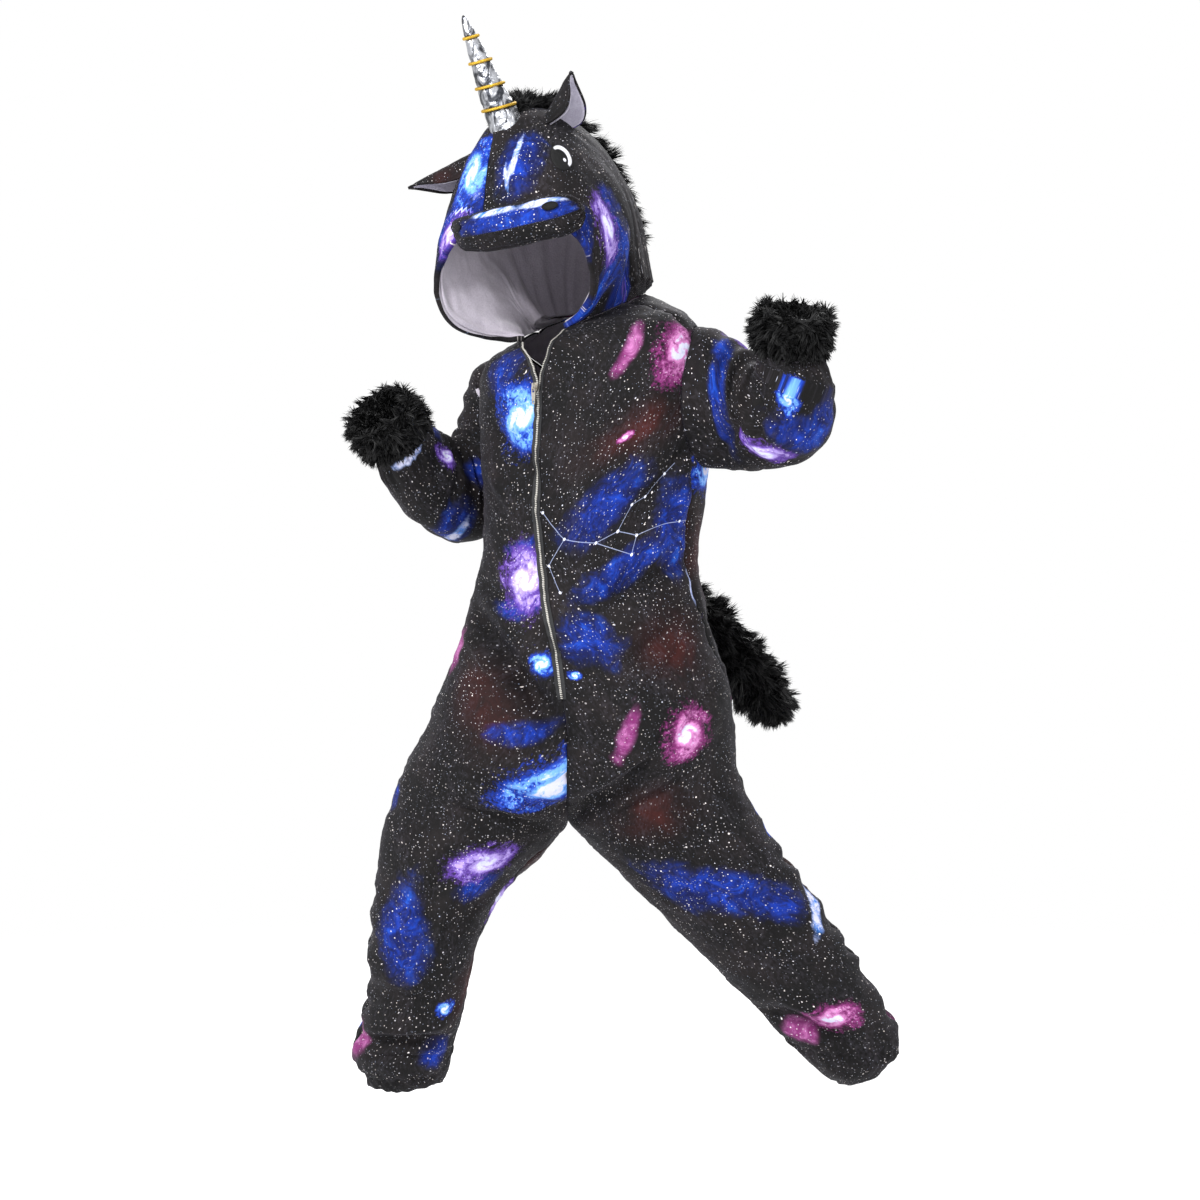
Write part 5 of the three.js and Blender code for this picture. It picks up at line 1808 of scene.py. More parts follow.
@dataclass
class Sleeves:
    """One-piece sleeves, creased at the elbows."""

    step: float = 4.0
    columns: int = 88
    sections: dict[Side, Table] = field(default_factory=lambda: {
        Side.LEFT: Table("innerX innerY innerZ outerX outerY outerZ depth", [
            [112, -30, -16, 124, -50, -156, 54],
            [158, -72, 10, 168, -72, -163, 60],
            [188, -92, -5, 205, -88, -166, 62],
            [207, -112, -26, 238, -104, -166, 60],
            [215, -132, -44, 271, -120, -160, 57],
            [217, -150, -54, 294, -136, -146, 54],
            [217, -166, -57, 308, -150, -125, 51],
            [217, -181, -53, 312, -166, -100, 48],
            [219, -195, -43, 311, -182, -72, 45],
        ]),
        Side.RIGHT: Table("innerX innerY innerZ outerX outerY outerZ depth", [
            [-96, 60, -38, -8, 90, -75, 45],
            [-128, 85, -34, -20, 122, -100, 55],
            [-139, 95, -62, -34, 142, -138, 56],
            [-145, 94, -94, -54, 142, -178, 55],
            [-150, 84, -114, -80, 130, -212, 53],
            [-157, 70, -124, -110, 108, -240, 51],
            [-163, 54, -124, -146, 82, -252, 49],
            [-170, 36, -118, -174, 52, -243, 47],
            [-178, 16, -110, -205, 22, -220, 45],
            [-188, -4, -100, -228, -6, -190, 43],
        ]),
    })

    def rings(self, side: Side, cuff: Cuff) -> tuple[Array, Array]:
        """Lay out a sleeve's rings.

        Args:
            side: The side.
            cuff: The cuff that it ends on.

        Returns:
            The rings' points, and how far along the sleeve each ring lies.
        """
        t = self.sections[side]
        rows = np.concatenate([t.points("innerX innerY innerZ"), t.points("outerX outerY outerZ"),
                               t["depth"][:, None]], axis=1)
        spans = np.linalg.norm(np.diff(rows[:, 3:6], axis=0), axis=1)
        fine = curve(rows, fine_places(spans, self.step))
        across = (fine[:, 3:6] - fine[:, 0:3]) / 2
        middle = (fine[:, 3:6] + fine[:, 0:3]) / 2
        after = np.concatenate([middle[1:], [cuff.base]])
        before = np.concatenate([middle[:1], middle[:-1]])
        deep = unit(np.cross(across, after - before)) * fine[:, 6:7]
        axis = unit(cuff.axis)
        last = unit(across[-1] - axis * (across[-1] @ axis))
        turned = np.cross(axis, last)
        turned *= np.sign(turned @ deep[-1])
        steps = max(2, round(np.linalg.norm(cuff.base - middle[-1]) / self.step))
        share = (np.arange(1, steps + 1) / steps)[:, None]
        blend = lambda start, end: start + (end - start) * share
        middle = np.concatenate([middle, blend(middle[-1], cuff.base - GAP * axis)])
        across = np.concatenate([across, blend(across[-1], last * cuff.sleeve_radius)])
        deep = np.concatenate([deep, blend(deep[-1], turned * cuff.sleeve_radius)])
        angle = (2 * np.pi * np.arange(self.columns) / self.columns)[None, :, None]
        rings = middle[:, None] + across[:, None] * np.cos(angle) + deep[:, None] * np.sin(angle)
        return rings, lengths_along(middle)

    def relief(self, side: Side, rings: Array, length: Array) -> Array:
        """Work out a sleeve's creases, which fan out from the crook of the elbow.

        Args:
            side: The side.
            rings: The plain rings.
            length: How far along the sleeve each ring lies.

        Returns:
            The height over the plain surface at each point.
        """
        angle = (2 * np.pi * np.arange(self.columns) / self.columns)[None, :]
        along = length[:, None]
        crook = np.clip(-np.cos(angle), -0.4, 1)
        total = length[-1]
        elbow = np.exp(-(((along - 0.58 * total) / (0.26 * total)) ** 2))
        seed = 31 if side is Side.LEFT else 32
        girth = angle * 52
        drift = Wrinkle(seed, 90, 60).at(girth, along)
        pleats = np.cos(2 * np.pi * (along / 27 + 0.35 * drift - 0.1 * np.cos(angle)))
        height = 4.6 * pleats * elbow * np.clip(0.45 + 0.6 * crook, 0, 1)
        height += 2.6 * Wrinkle(seed + 5, 38, 16).at(girth, along)
        cuff_end = total - along
        height += 2.0 * np.exp(-((cuff_end - 10) / 14) ** 2) * np.sin(
            18 * angle + 2 * np.sin(5 * angle)
        )
        height -= 2.4 * np.exp(-((cuff_end - 2) / 6) ** 2)
        return height

    def build(self, cuffs: dict[Side, Cuff]) -> None:
        """Work out both sleeves' surfaces.

        Args:
            cuffs: The cuffs that they end on.
        """
        self.grids, self.normals, self.flats = {}, {}, {}
        for side in Side:
            rings, length = self.rings(side, cuffs[side])
            normals = self.outward(rings)
            rings = rings + normals * fold_height(rings, normals, FOLDS)[..., None]
            rings = rings + normals * self.relief(side, rings, length)[..., None]
            self.grids[side], self.normals[side] = rings, self.outward(rings)
            girth = circle(self.columns) * 52
            self.flats[side] = np.stack(np.broadcast_arrays(girth[None, :], -length[:, None]), -1)

    def outward(self, rings: Array) -> Array:
        """Work out normals that point out of a tube."""
        normals = grid_normals(rings, True)
        middle = rings[5].mean(axis=0)
        return normals * np.sign(normals[5, 0] @ (rings[5, 0] - middle))

    def core(self, side: Side) -> Solid:
        """Fill a sleeve, for cutting the body."""
        return loft(self.grids[side] + GAP * self.normals[side])

    def dress_sleeves(self, trunk: Solid) -> None:
        """Make both sleeves.

        Args:
            trunk: The filled trunk, which is cut from them.
        """
        for side in Side:
            node = f"sleeve_{side.word}"
            outer, normals = self.grids[side], self.normals[side]
            dress_plush(node, wall(outer, outer - CLOTH * normals, True), outer, normals,
                        self.flats[side].reshape(-1, 2), trunk, Held.GATHERED)


@dataclass
class Pile:
    """Blades of long pile that grow from a surface."""

    width: float
    bend: float
    seed: int

    def grow(self, roots: Array, normals: Array, lean: Array,
             length: Array) -> Solid:
        """Grow one blade from each root.

        Args:
            roots: Where the blades start.
            normals: The surface's normals there.
            lean: Which way each blade leans, with how strongly as its length.
            length: How long each blade is.

        Returns:
            The blades.
        """
        rng = np.random.default_rng(self.seed)
        count = len(roots)
        stir = rng.normal(0, 0.13, (count, 3))
        grow = unit(normals + lean + stir)
        droop = unit(grow + lean * self.bend * 2.4 - np.array([0, 0, self.bend]) + stir)
        side = unit(np.cross(grow, rng.normal(0, 1, (count, 3))))
        reach = length[:, None]
        wide = self.width * rng.uniform(0.7, 1.3, (count, 1))
        points, along = [], []
        spots = ((0.0, 1.0), (0.4, 0.8), (0.75, 0.5), (1.0, 0.0))
        for share, taper in spots:
            bend = grow * (share - 0.5 * share**2) + droop * 0.5 * share**2
            middle = roots + bend * reach
            if taper:
                points += [middle - side * wide * taper / 2, middle + side * wide * taper / 2]
                along += [np.full(count, share)] * 2
            else:
                points.append(middle)
                along.append(np.full(count, share))
        base = np.arange(count)
        at = lambda k: base + k * count
        quads = np.concatenate([
            np.stack([at(0), at(1), at(3), at(2)], 1), np.stack([at(2), at(3), at(5), at(4)], 1)])
        tips = np.stack([at(4), at(5), at(6)], 1)
        faces = quads.tolist() + tips.tolist()
        return Solid(np.concatenate(points), faces, fields={"along": np.concatenate(along)})


def scatter(grid: Array, normals: Array, count: int, seed: int,
            wrapped: bool) -> tuple[Array, Array, Array]:
    """Scatter places over a grid, as evenly as its area.

    Args:
        grid: Points in rows and columns.
        normals: Their normals.
        count: How many places there are.
        seed: The seed.
        wrapped: Whether the grid is a tube.

    Returns:
        The places' points, normals and grid coordinates.
    """
    rng = np.random.default_rng(seed)
    columns = grid.shape[1]
    after = (np.arange(columns) + 1) % columns
    spans = columns if wrapped else columns - 1
    a, b, c = grid[:-1, :spans], grid[1:, :spans], grid[:-1, after[:spans]]
    area = np.linalg.norm(np.cross(b - a, c - a), axis=2)
    pick = rng.choice(area.size, count, p=(area / area.sum()).ravel())
    i, j = np.divmod(pick, spans)
    s, t = rng.random((2, count, 1))
    spot = (i, s), (j, after[j], t)
    found = np.concatenate([i[:, None] + s, j[:, None] + t], axis=1)
    return blended(grid, *spot), unit(blended(normals, *spot)), found


def tufts(roots: Array, count: int, seed: int, length: float) -> Array:
    """Gather blades into curly tufts.

    Args:
        roots: Where the blades start.
        count: How many tufts there are.
        seed: The seed.
        length: How long a blade is.

    Returns:
        How each blade leans towards its tuft's tip.
    """
    rng = np.random.default_rng(seed)
    centres = roots[rng.choice(len(roots), count, replace=False)]
    tree = search_tree(centres)
    nearest = np.array([tree.find(root)[1] for root in roots])
    return 0.85 * (centres[nearest] - roots) / length + rng.normal(0, 0.5, (count, 3))[nearest]


@dataclass
class Cuff:
    """A thick ring of long pile round a wrist."""

    side: Side
    base: Array
    axis: Array
    sleeve_radius: float
    seed: int
    pile: float = 15.0
    blades: int = 16000
    profile: Table = Table("along radius", [
        [0, 37.5], [0, 45], [7, 50], [20, 52], [36, 52], [48, 49], [55, 43], [50, 37], [25, 36],
    ])

    def rings(self, columns: int, inset: float) -> tuple[Array, Array]:
        """Lay out the cuff's closed section round its wrist.

        Args:
            columns: Points round the wrist.
            inset: How far the section is drawn in from the pile's tips.

        Returns:
            Points and normals, a row round the section for each angle.
        """
        rows = self.profile.rows
        closed = np.concatenate([rows, rows[:1]])
        places = np.linspace(0, len(rows), 46)[:-1]
        section = curve(closed, places)
        edge = np.roll(section, -1, axis=0) - np.roll(section, 1, axis=0)
        out = unit(np.stack([-edge[:, 1], edge[:, 0]], axis=1))
        centre = rows.mean(axis=0)
        if np.sum(out * (section - centre)) < 0:
            out = -out
        inner = rise(section[:, 1], 38, 46)[:, None]
        section = section - out * (inset * (0.3 + 0.7 * inner))
        up = unit(self.axis)
        side = unit(np.array([1.0, 0, 0]) - up * up[0])
        deep = np.cross(up, side)
        angle = 2 * np.pi * np.arange(columns) / columns
        spoke = side[None] * np.cos(angle)[:, None] + deep[None] * np.sin(angle)[:, None]
        points = self.base + up * section[None, :, :1] + spoke[:, None] * section[None, :, 1:]
        normals = up * out[None, :, :1] + spoke[:, None] * out[None, :, 1:]
        return points, normals

    def dress_cuff(self) -> None:
        """Make the cuff's band and its pile."""
        node = f"cuff_{self.side.word}"
        points, normals = self.rings(72, self.pile * 0.62)
        band = dress_plain(f"{node}_band", closed_ring(points), LongPile, "fur", node)
        grid = np.concatenate([points, points[:1]])
        ring = np.concatenate([normals, normals[:1]])
        roots, out, _ = scatter(grid, ring, self.blades, self.seed, True)
        up = unit(self.axis)
        rng = np.random.default_rng(self.seed + 1)
        lean = tufts(roots, 420, self.seed, self.pile) - 0.2 * up - HANG
        length = self.pile * rng.uniform(0.7, 1.15, len(roots))
        inside = (out @ up < 0.5) & (np.sum(out * (roots - self.base), axis=1) < 0)
        length[inside] *= 0.3
        blades = Pile(width=1.45, bend=0.4, seed=self.seed).grow(roots, out, lean, length)
        dress_plain(f"{node}_pile", blades, LongPile, "fur")


# Hood


@dataclass
class Hood:
    """The hood's two halves and lining, in the head's own tilted directions."""

    head: Array = field(default_factory=lambda: np.array([-23.0, -50.0, 134.0]))
    yaw: float = 20.0
    pitch: float = 15.0
    roll: float = 19.0
    neck_lift: float = 0.6
    pull: float = 1.1
    arches: Table = Table(
        "shift front up tilt widthLeft widthRight height wall", [
            [-36, 108, -38, -8, 105, 105, 84, 7],
            [-28, 90, -28, -4, 106, 106, 106, 5],
            [-15, 66, -22, 0, 105, 105, 140, 2.4],
            [-8, 42, -20, 5, 103, 103, 165, 2.4],
            [2, 20, -20, 12, 94, 106, 175, 2.4],
            [10, 4, -22, 24, 85, 109, 172, 2.4],
            [18, -6, -28, 40, 74, 114, 160, 2.4],
            [24, -12, -38, 57, 64, 116, 146, 2.4],
            [26, -14, -52, 74, 57, 113, 133, 2.4],
            [14, -16, -72, 90, 65, 95, 119, 2.4],
            [0, -20, -98, 103, 75, 75, 100, 2.4],
        ])

    def __post_init__(self) -> None:
        """Work out the head's directions."""
        yaw, pitch, roll = (math.radians(a) for a in (-self.yaw, self.pitch, -self.roll))
        about_z = np.array([[math.cos(yaw), -math.sin(yaw), 0],
                            [math.sin(yaw), math.cos(yaw), 0], [0, 0, 1]])
        about_x = np.array([[1, 0, 0], [0, math.cos(pitch), -math.sin(pitch)],
                            [0, math.sin(pitch), math.cos(pitch)]])
        about_y = np.array([[math.cos(roll), 0, math.sin(roll)], [0, 1, 0],
                            [-math.sin(roll), 0, math.cos(roll)]])
        turn = about_z @ about_x @ about_y
        self.left, self.front, self.up = turn[:, 0], -turn[:, 1], turn[:, 2]

    def point(self, left: Any, front: Any, up: Any) -> Array:
        """Turn head coordinates into a point, or arrays of them into points."""
        parts = [np.asarray(v, dtype=float)[..., None] * d
                 for v, d in ((left, self.left), (front, self.front), (up, self.up))]
        return self.head + sum(parts)

    def neck(self, body: Body, side: Side, angle: Any) -> Array:
        """Take points of the neck ring, lifted to clear the body.

        Args:
            body: The body.
            side: The side.
            angle: Where on the ring, in radians.

        Returns:
            The points.
        """
        row = body.trunk_stations(side)[0]
        angle = np.asarray(angle, dtype=float)[..., None]
        point = row[0:3] + row[3:6] * np.cos(angle) + row[6:9] * np.sin(angle)
        return point + np.array([0, 0, self.neck_lift])

    def row(self, body: Body, side: Side, place: float, columns: Array) -> Array:
        """Lay out one arch and the skirt under it.

        Args:
            body: The body, whose neck the skirt ends on.
            side: The side.
            place: The arch, in half rows of the table.
            columns: Places from the crown (0) over the ear (5) to the neck (9).

        Returns:
            The arch's points.
        """
        share = place / 21
        found = curve(self.arches.rows, np.array([place / 2]))[0]
        shift, front, up, tilt, width_left, width_right, height, _ = found
        width = width_left if side is Side.LEFT else width_right
        lean = math.radians(tilt)
        rising = self.up * math.cos(lean) - self.front * math.sin(lean)
        centre = self.point(shift, front, up)
        angle = np.pi / 2 * (1 - columns[:, None] / 5)
        across, lift = side.value * width * np.cos(angle), height * np.sin(angle)
        arch = centre + self.left * across + rising * lift
        start = centre + self.left * side.value * width
        station = body.trunk_stations(side)[0]
        opened = math.asin(station[10] / np.linalg.norm(station[3:6]))
        end = self.neck(body, side, (opened - np.pi / 2) * (1 - share))
        length = np.linalg.norm(start - end)
        leaving = -self.pull * length * rising
        middle = unit(self.neck(body, side, -np.pi / 2) - end)
        arriving = middle * length * (1 - share) * self.pull
        arriving = arriving - np.array([0, 0, length * (0.15 + 0.7 * share)])
        t = np.clip((columns[:, None] - 5) / 4, 0, 1)
        skirt = (
            start * (2 * t**3 - 3 * t * t + 1) + leaving * (t**3 - 2 * t * t + t)
            + end * (3 * t * t - 2 * t**3) + arriving * (t**3 - t * t)
        )
        return np.where(columns[:, None] < 5, arch, skirt)

    def surface(self, body: Body, side: Side, places: Array, columns: Array) -> Array:
        """Lay out a half of the hood.

        Args:
            body: The body.
            side: The side.
            places: Arches from the face opening (0) to the last (20) and the neck (21).
            columns: Places as in row.

        Returns:
            Points in rows and columns.
        """
        neck = self.neck(body, side, np.pi / 2 * (1 - columns / 9))
        rows = []
        for place in places:
            row = self.row(body, side, min(place, 20.0), columns)
            if place > 20:
                row = row + (neck - row) * (place - 20)
            rows.append(row)
        return np.array(rows)

    def relief(self, side: Side, places: Array, columns: Array, grid: Array) -> Array:
        """Work out the hood's soft folds and seam.

        Args:
            side: The side.
            places: The grid's arches.
            columns: The grid's columns.
            grid: The plain points.

        Returns:
            The height over the plain surface at each point.
        """
        down, across = arc_lengths(grid, 0), arc_lengths(grid, 1)
        seed = 51 if side is Side.LEFT else 52
        height = 3.0 * Wrinkle(seed, 60, 34).at(across, down)
        height += 1.3 * Wrinkle(seed + 3, 20, 16).at(across, down)
        at_neck = rise(columns, 6.0, 8.6)[None, :]
        height += 2.6 * at_neck * np.sin(down / 8.5 + 1.2 * np.sin(down / 23))
        height -= 1.8 * np.exp(-((across / 6) ** 2))
        height -= np.exp(-(((down - 11) / 3) ** 2)) * 1.8
        height += np.exp(-(((down - 4) / 5) ** 2)) * 0.8
        fade = 1 - rise(columns, 8.3, 9.0)[None, :]
        return height * fade * (1 - rise(places, 20.4, 21.0)[:, None])

    def build(self, body: Body) -> None:
        """Work out both halves' surfaces.

        Args:
            body: The body.
        """
        self.places = np.concatenate([np.arange(0, 20, 0.22), [20, 20.25, 20.5, 20.75, 21]])
        self.columns = np.concatenate([np.linspace(0, 5, 45)[:-1], np.linspace(5, 9, 34)])
        self.grids, self.normals, self.flats = {}, {}, {}
        plain, facing = {}, {}
        for side in Side:
            grid = self.surface(body, side, self.places, self.columns)
            normals = grid_normals(grid)
            plain[side] = grid
            facing[side] = normals * np.sign(normals[20, 0] @ self.up)
        crown = unit(facing[Side.LEFT][:, 0] + facing[Side.RIGHT][:, 0])
        for side in Side:
            facing[side][:, 0] = crown
            height = self.relief(side, self.places, self.columns, plain[side])
            grid = plain[side] + facing[side] * height[..., None]
            self.grids[side], self.normals[side] = grid, facing[side]
            across = arc_lengths(grid, 1) * side.value
            flat = np.stack([across, -arc_lengths(grid, 0)], axis=-1)
            self.flats[side] = flat + PATTERN_PLACES[f"hood_{side.word}"]

    def walls(self) -> Array:
        """Work out the shell's thickness at each arch."""
        thick = curve(self.arches["wall"][:, None], np.minimum(self.places, 20) / 2)[:, 0]
        return np.maximum(thick, CLOTH)

    def dress_hood(self, body: Body) -> None:
        """Make both halves and their linings.

        Args:
            body: The body, whose trunk is cut from them.
        """
        trunk = body.core(GAP)
        thick = self.walls()[:, None, None]
        for side in Side:
            node = f"hood_{side.word}"
            grid, normals = self.grids[side], self.normals[side]
            flat = self.flats[side].reshape(-1, 2)
            trim = self.left * side.value * SEAM

            def layer(depth: Any) -> Array:
                """Take the half's points at a depth under its outside."""
                moved = grid - normals * depth
                moved[:, 0] += trim
                return moved

            dress_plush(node, wall(layer(0.0), layer(thick)), grid, normals, flat, trunk,
                        Held.DRAPED)
            soft = 3.4 * Wrinkle(71, 70, 24).at(flat[:, 0], flat[:, 1]).reshape(grid.shape[:2])
            soft = np.maximum(soft, 0)[..., None]
            near = thick + LINING_GAP
            lining = wall(layer(near)[3:-5], layer(near + LINING + soft)[3:-5])
            lining.slots[:] = 0
            inner = make(f"{node}_lining_cloth", lining, finish(Fleece))
            carve(inner, trunk, Solid(lining.points, []))
            dress(inner, "lining", f"hood_lining_{side.word}")
            declare_sheet(inner, Held.DRAPED, flat)


@dataclass
class Horn:
    """A padded cone of crinkled cloth, wound with cord."""

    hood: Hood
    front: float = 24.0
    base: float = 116.0
    length: float = 166.0
    radius: float = 24.0
    tip: float = 1.8
    taper: float = 0.72
    lean: float = 12.0
    shift: float = 2.0
    bend: float = 1.5
    cord: float = 2.0
    slope: float = -0.17
    turns: tuple[float, ...] = (0.28, 0.45, 0.64, 0.83)

    def centre(self, t: Any) -> Array:
        """Take points of the horn's middle line, from its base (0) to its tip (1)."""
        t = np.asarray(t, dtype=float)
        bend = self.shift * (1 - 0.6 * t) - self.bend * 4 * t * (1 - t)
        return self.hood.point(bend, self.front - self.lean * t, self.base + self.length * t)

    def reach(self, t: Any) -> Array:
        """Work out the horn's radius along it."""
        t = np.clip(np.asarray(t, dtype=float), 0, 1)
        return self.tip + (self.radius - self.tip) * (1 - t) ** self.taper

    def dress_horn(self) -> None:
        """Make the cone and its cords."""
        steps, columns = 150, 96
        t = np.linspace(-0.04, 1, steps)[:, None]
        angle = circle(columns)[None, :]
        place = t * self.length
        girth = angle * 14
        crush = Wrinkle(81, 17, 8).at(girth, place + 3 * np.sin(2 * angle))
        crush = crush - 0.7 * np.abs(Wrinkle(82, 11, 9).at(girth, place))
        crush[:, -6:] = crush[:, -6:] * 0.6 + crush[:, :6][:, ::-1] * 0.4
        radius = self.reach(t) + 1.3 * crush * (0.5 + 0.5 * (1 - t))
        for turn in self.turns:
            away = (t - turn) * self.length - self.slope * self.reach(turn) * np.cos(angle)
            radius = radius - 0.9 * np.exp(-((away / 3.5) ** 2))
        radius = radius * np.sqrt(np.clip((1.0 - t) / 0.022, 0, 1)) ** 0.6
        rings = (
            self.centre(t[:, 0])[:, None]
            + self.hood.left * (radius * np.cos(angle))[..., None]
            + self.hood.front * (radius * np.sin(angle))[..., None]
        )
        cone = dress_plain("horn_cloth", loft(rings), Lame, "silver_lame", "horn")
        for number, turn in enumerate(self.turns, 1):
            self.dress_cord(number, turn)

    def dress_cord(self, number: int, turn: float) -> None:
        """Make one turn of twisted cord.

        Args:
            number: The turn's number from the base.
            turn: Its place along the horn.
        """
        around = circle(240)[:, None]
        section = circle(20)[None, :]
        tilt = self.slope * self.reach(turn) * np.cos(around) / self.length
        plies = np.abs(np.cos(1.5 * (section - around * 16)))
        thick = self.cord * (0.74 + 0.3 * plies)
        place = turn + tilt + thick * np.sin(section) / self.length
        radius = self.reach(turn + tilt) - 1.1 + self.cord + thick * np.cos(section)
        points = (
            self.centre(place) + self.hood.left * (radius * np.cos(around))[..., None]
            + self.hood.front * (radius * np.sin(around))[..., None]
        )
        solid = closed_ring(points)
        solid.fields = {"along": plies.ravel()}
        dress_plain(f"horn_cord_turn_{number}", solid, GoldCord, "gold_cord", f"horn_cord_{number}")


@dataclass
class Mane:
    """Long pile over the hood's crown seam, from behind the horn to the nape."""

    hood: Hood
    blades: int = 26000
    sections: Table = Table("row width height", [
        [6.7, 18, 10], [7.3, 28, 18], [8, 32, 24], [9, 35, 27], [10.5, 36, 28], [12, 36, 28],
        [13.5, 34, 28], [15, 32, 27], [17, 28, 24], [18.5, 20, 18], [20, 9, 10],
    ])
    crown: float = 115.0

    def dress_mane(self) -> None:
        """Make the mane's pile over a low padded ridge."""
        t = self.sections
        places = np.linspace(0, len(t.rows) - 1, 80)
        fine = curve(t.rows, places)
        seam, rising = [], []
        for row in fine[:, 0]:
            at = np.interp(row, self.hood.places, np.arange(len(self.hood.places)))
            i = min(int(at), len(self.hood.places) - 2)
            mix = lambda grid: grid[i, 0] * (1 - at + i) + grid[i + 1, 0] * (at - i)
            seam.append(mix(self.hood.grids[Side.LEFT]))
            rising.append(mix(self.hood.normals[Side.LEFT]))
        seam, rising = np.array(seam), unit(np.array(rising))
        columns = 48
        angle = circle(columns)[None, :]
        width, height = fine[:, 1:2], fine[:, 2:3]

        def ridge(scale: float) -> Array:
            """Lay out the ridge, a share of its full size."""
            sideways = width * scale * np.cos(angle)
            lift = np.where(np.sin(angle) > 0, height * scale * np.sin(angle), -3.0)
            lift = lift - sideways**2 / (2 * self.crown)
            away = self.hood.left * sideways[..., None]
            return seam[:, None] + away + rising[:, None] * lift[..., None]

        core = ridge(0.45)
        piece = dress_plain("mane_backing", loft(core), LongPile, "fur", "mane")
        upper = core[:, : columns // 2 + 1]
        normals = grid_normals(upper)
        normals = normals * np.sign(normals[40, columns // 4] @ rising[40])
        roots, out, spot = scatter(upper, normals, self.blades, 91, False)
        rng = np.random.default_rng(92)
        back = unit(np.gradient(seam, axis=0))[np.clip(spot[:, 0].astype(int), 0, 79)]
        lean = tufts(roots, 330, 93, 22.0) + 0.35 * back - HANG
        size = np.interp(spot[:, 0], np.arange(80), fine[:, 2])
        length = (7 + size * 0.62) * rng.uniform(0.6, 1.1, len(roots))
        length = length * (1 + 0.4 * rise(spot[:, 0], 20, 40))
        blades = Pile(width=1.45, bend=0.45, seed=94).grow(roots, out, lean, length)
        dress_plain("mane_pile", blades, LongPile, "fur")


@dataclass
class Muzzle:
    """The padded roll over the face opening, with its nostrils."""

    hood: Hood
    sections: Table = Table("left front up deep high", [
        [-82, 104, 38, 8, 9], [-74, 114, 37, 17, 20], [-55, 127, 34, 23, 24],
        [-28, 136, 30, 26, 26], [0, 140, 25, 27, 27], [28, 136, 20, 26, 27],
        [55, 127, 15, 24, 27], [74, 114, 12, 18, 23], [83, 104, 11, 8, 11],
    ])
    sides: int = 14

    def points(self, places: Array, turns: Array, grown: float = 0.0) -> Array:
        """Take points of the roll.

        Args:
            places: Where along it, in rows of its table.
            turns: Where round it, in sides.
            grown: How far out of its plain surface.

        Returns:
            One point for each pair of places and turns.
        """
        found = curve(self.sections.rows, places.ravel())
        left, front, up, deep, high = found.T.reshape(5, *places.shape)
        angle = 2 * np.pi * turns / self.sides
        across, lift = (deep + grown) * np.cos(angle), (high + grown) * np.sin(angle)
        return self.hood.point(left, front, up) + (
            self.hood.front * across[..., None] + self.hood.up * lift[..., None])

    def dress_muzzle(self) -> None:
        """Make the roll and its nostrils."""
        turns = np.linspace(0, self.sides, 72, endpoint=False)
        u, v = np.meshgrid(np.linspace(0, 8, 120), turns, indexing="ij")
        grid = self.points(u, v)
        down, girth = arc_lengths(grid, 0), v * 12.0
        height = 1.3 * Wrinkle(61, 34, 22).at(down, girth * np.minimum(1, (14 - v) / 2))
        ends = np.minimum(u, 8 - u)
        height += 1.4 * np.sin(v * 2 * np.pi * 10 / 14 + np.sin(3 * v)) * np.exp(-((ends / 1.1) ** 2))
        height -= 1.6 * np.exp(-(((v - 11.6) / 0.28) ** 2))
        height -= 1.2
        grid = grid + self.outward(grid) * height[..., None]
        solid = loft(grid)
        with_ends = lambda rows: np.concatenate([rows, rows[:1], rows[-1:]])
        normals = with_ends(self.outward(grid).reshape(-1, 3))
        solid.flat = with_ends(paired(down, girth))
        solid.fields = print_fields("muzzle", solid.points, normals, solid.flat)
        piece = dress_plain("muzzle_cloth", solid, PrintedPlush, "printed_plush", "muzzle")
        for side, centre in ((Side.LEFT, 6.3), (Side.RIGHT, 1.7)):
            self.dress_nostril(side, centre)

    def outward(self, grid: Array) -> Array:
        """Work out normals that point out of the roll."""
        normals = grid_normals(grid, True)
        return normals * np.sign(normals[60, 0] @ (grid[60, 0] - grid[60].mean(axis=0)))

    def dress_nostril(self, side: Side, centre: float) -> None:
        """Make one sewn-on oval.

        Args:
            side: The side.
            centre: Its place along the roll.
        """
        share, angle = disc(0.02, 10, 40)
        u, v = centre + 0.37 * share * np.cos(angle), 1.3 + 0.5 * share * np.sin(angle)
        dome = 0.5 + 1.4 * np.sqrt(np.clip(1 - share**2, 0, 1))
        top = self.points(u, v, 0) + self.outward_patch(u, v) * dome[..., None]
        under = self.points(u, v, -0.8)
        solid = both_faces(wall(top, under, True), paired(u * 30, v * 12), {})
        node = f"nostril_{side.word}"
        dress_plain(f"{node}_patch", solid, SatinStitch, "embroidery", node)

    def outward_patch(self, u: Array, v: Array) -> Array:
        """Work out the roll's own outward directions at places on it."""
        return unit(self.points(u, v, 1.0) - self.points(u, v, 0.0))


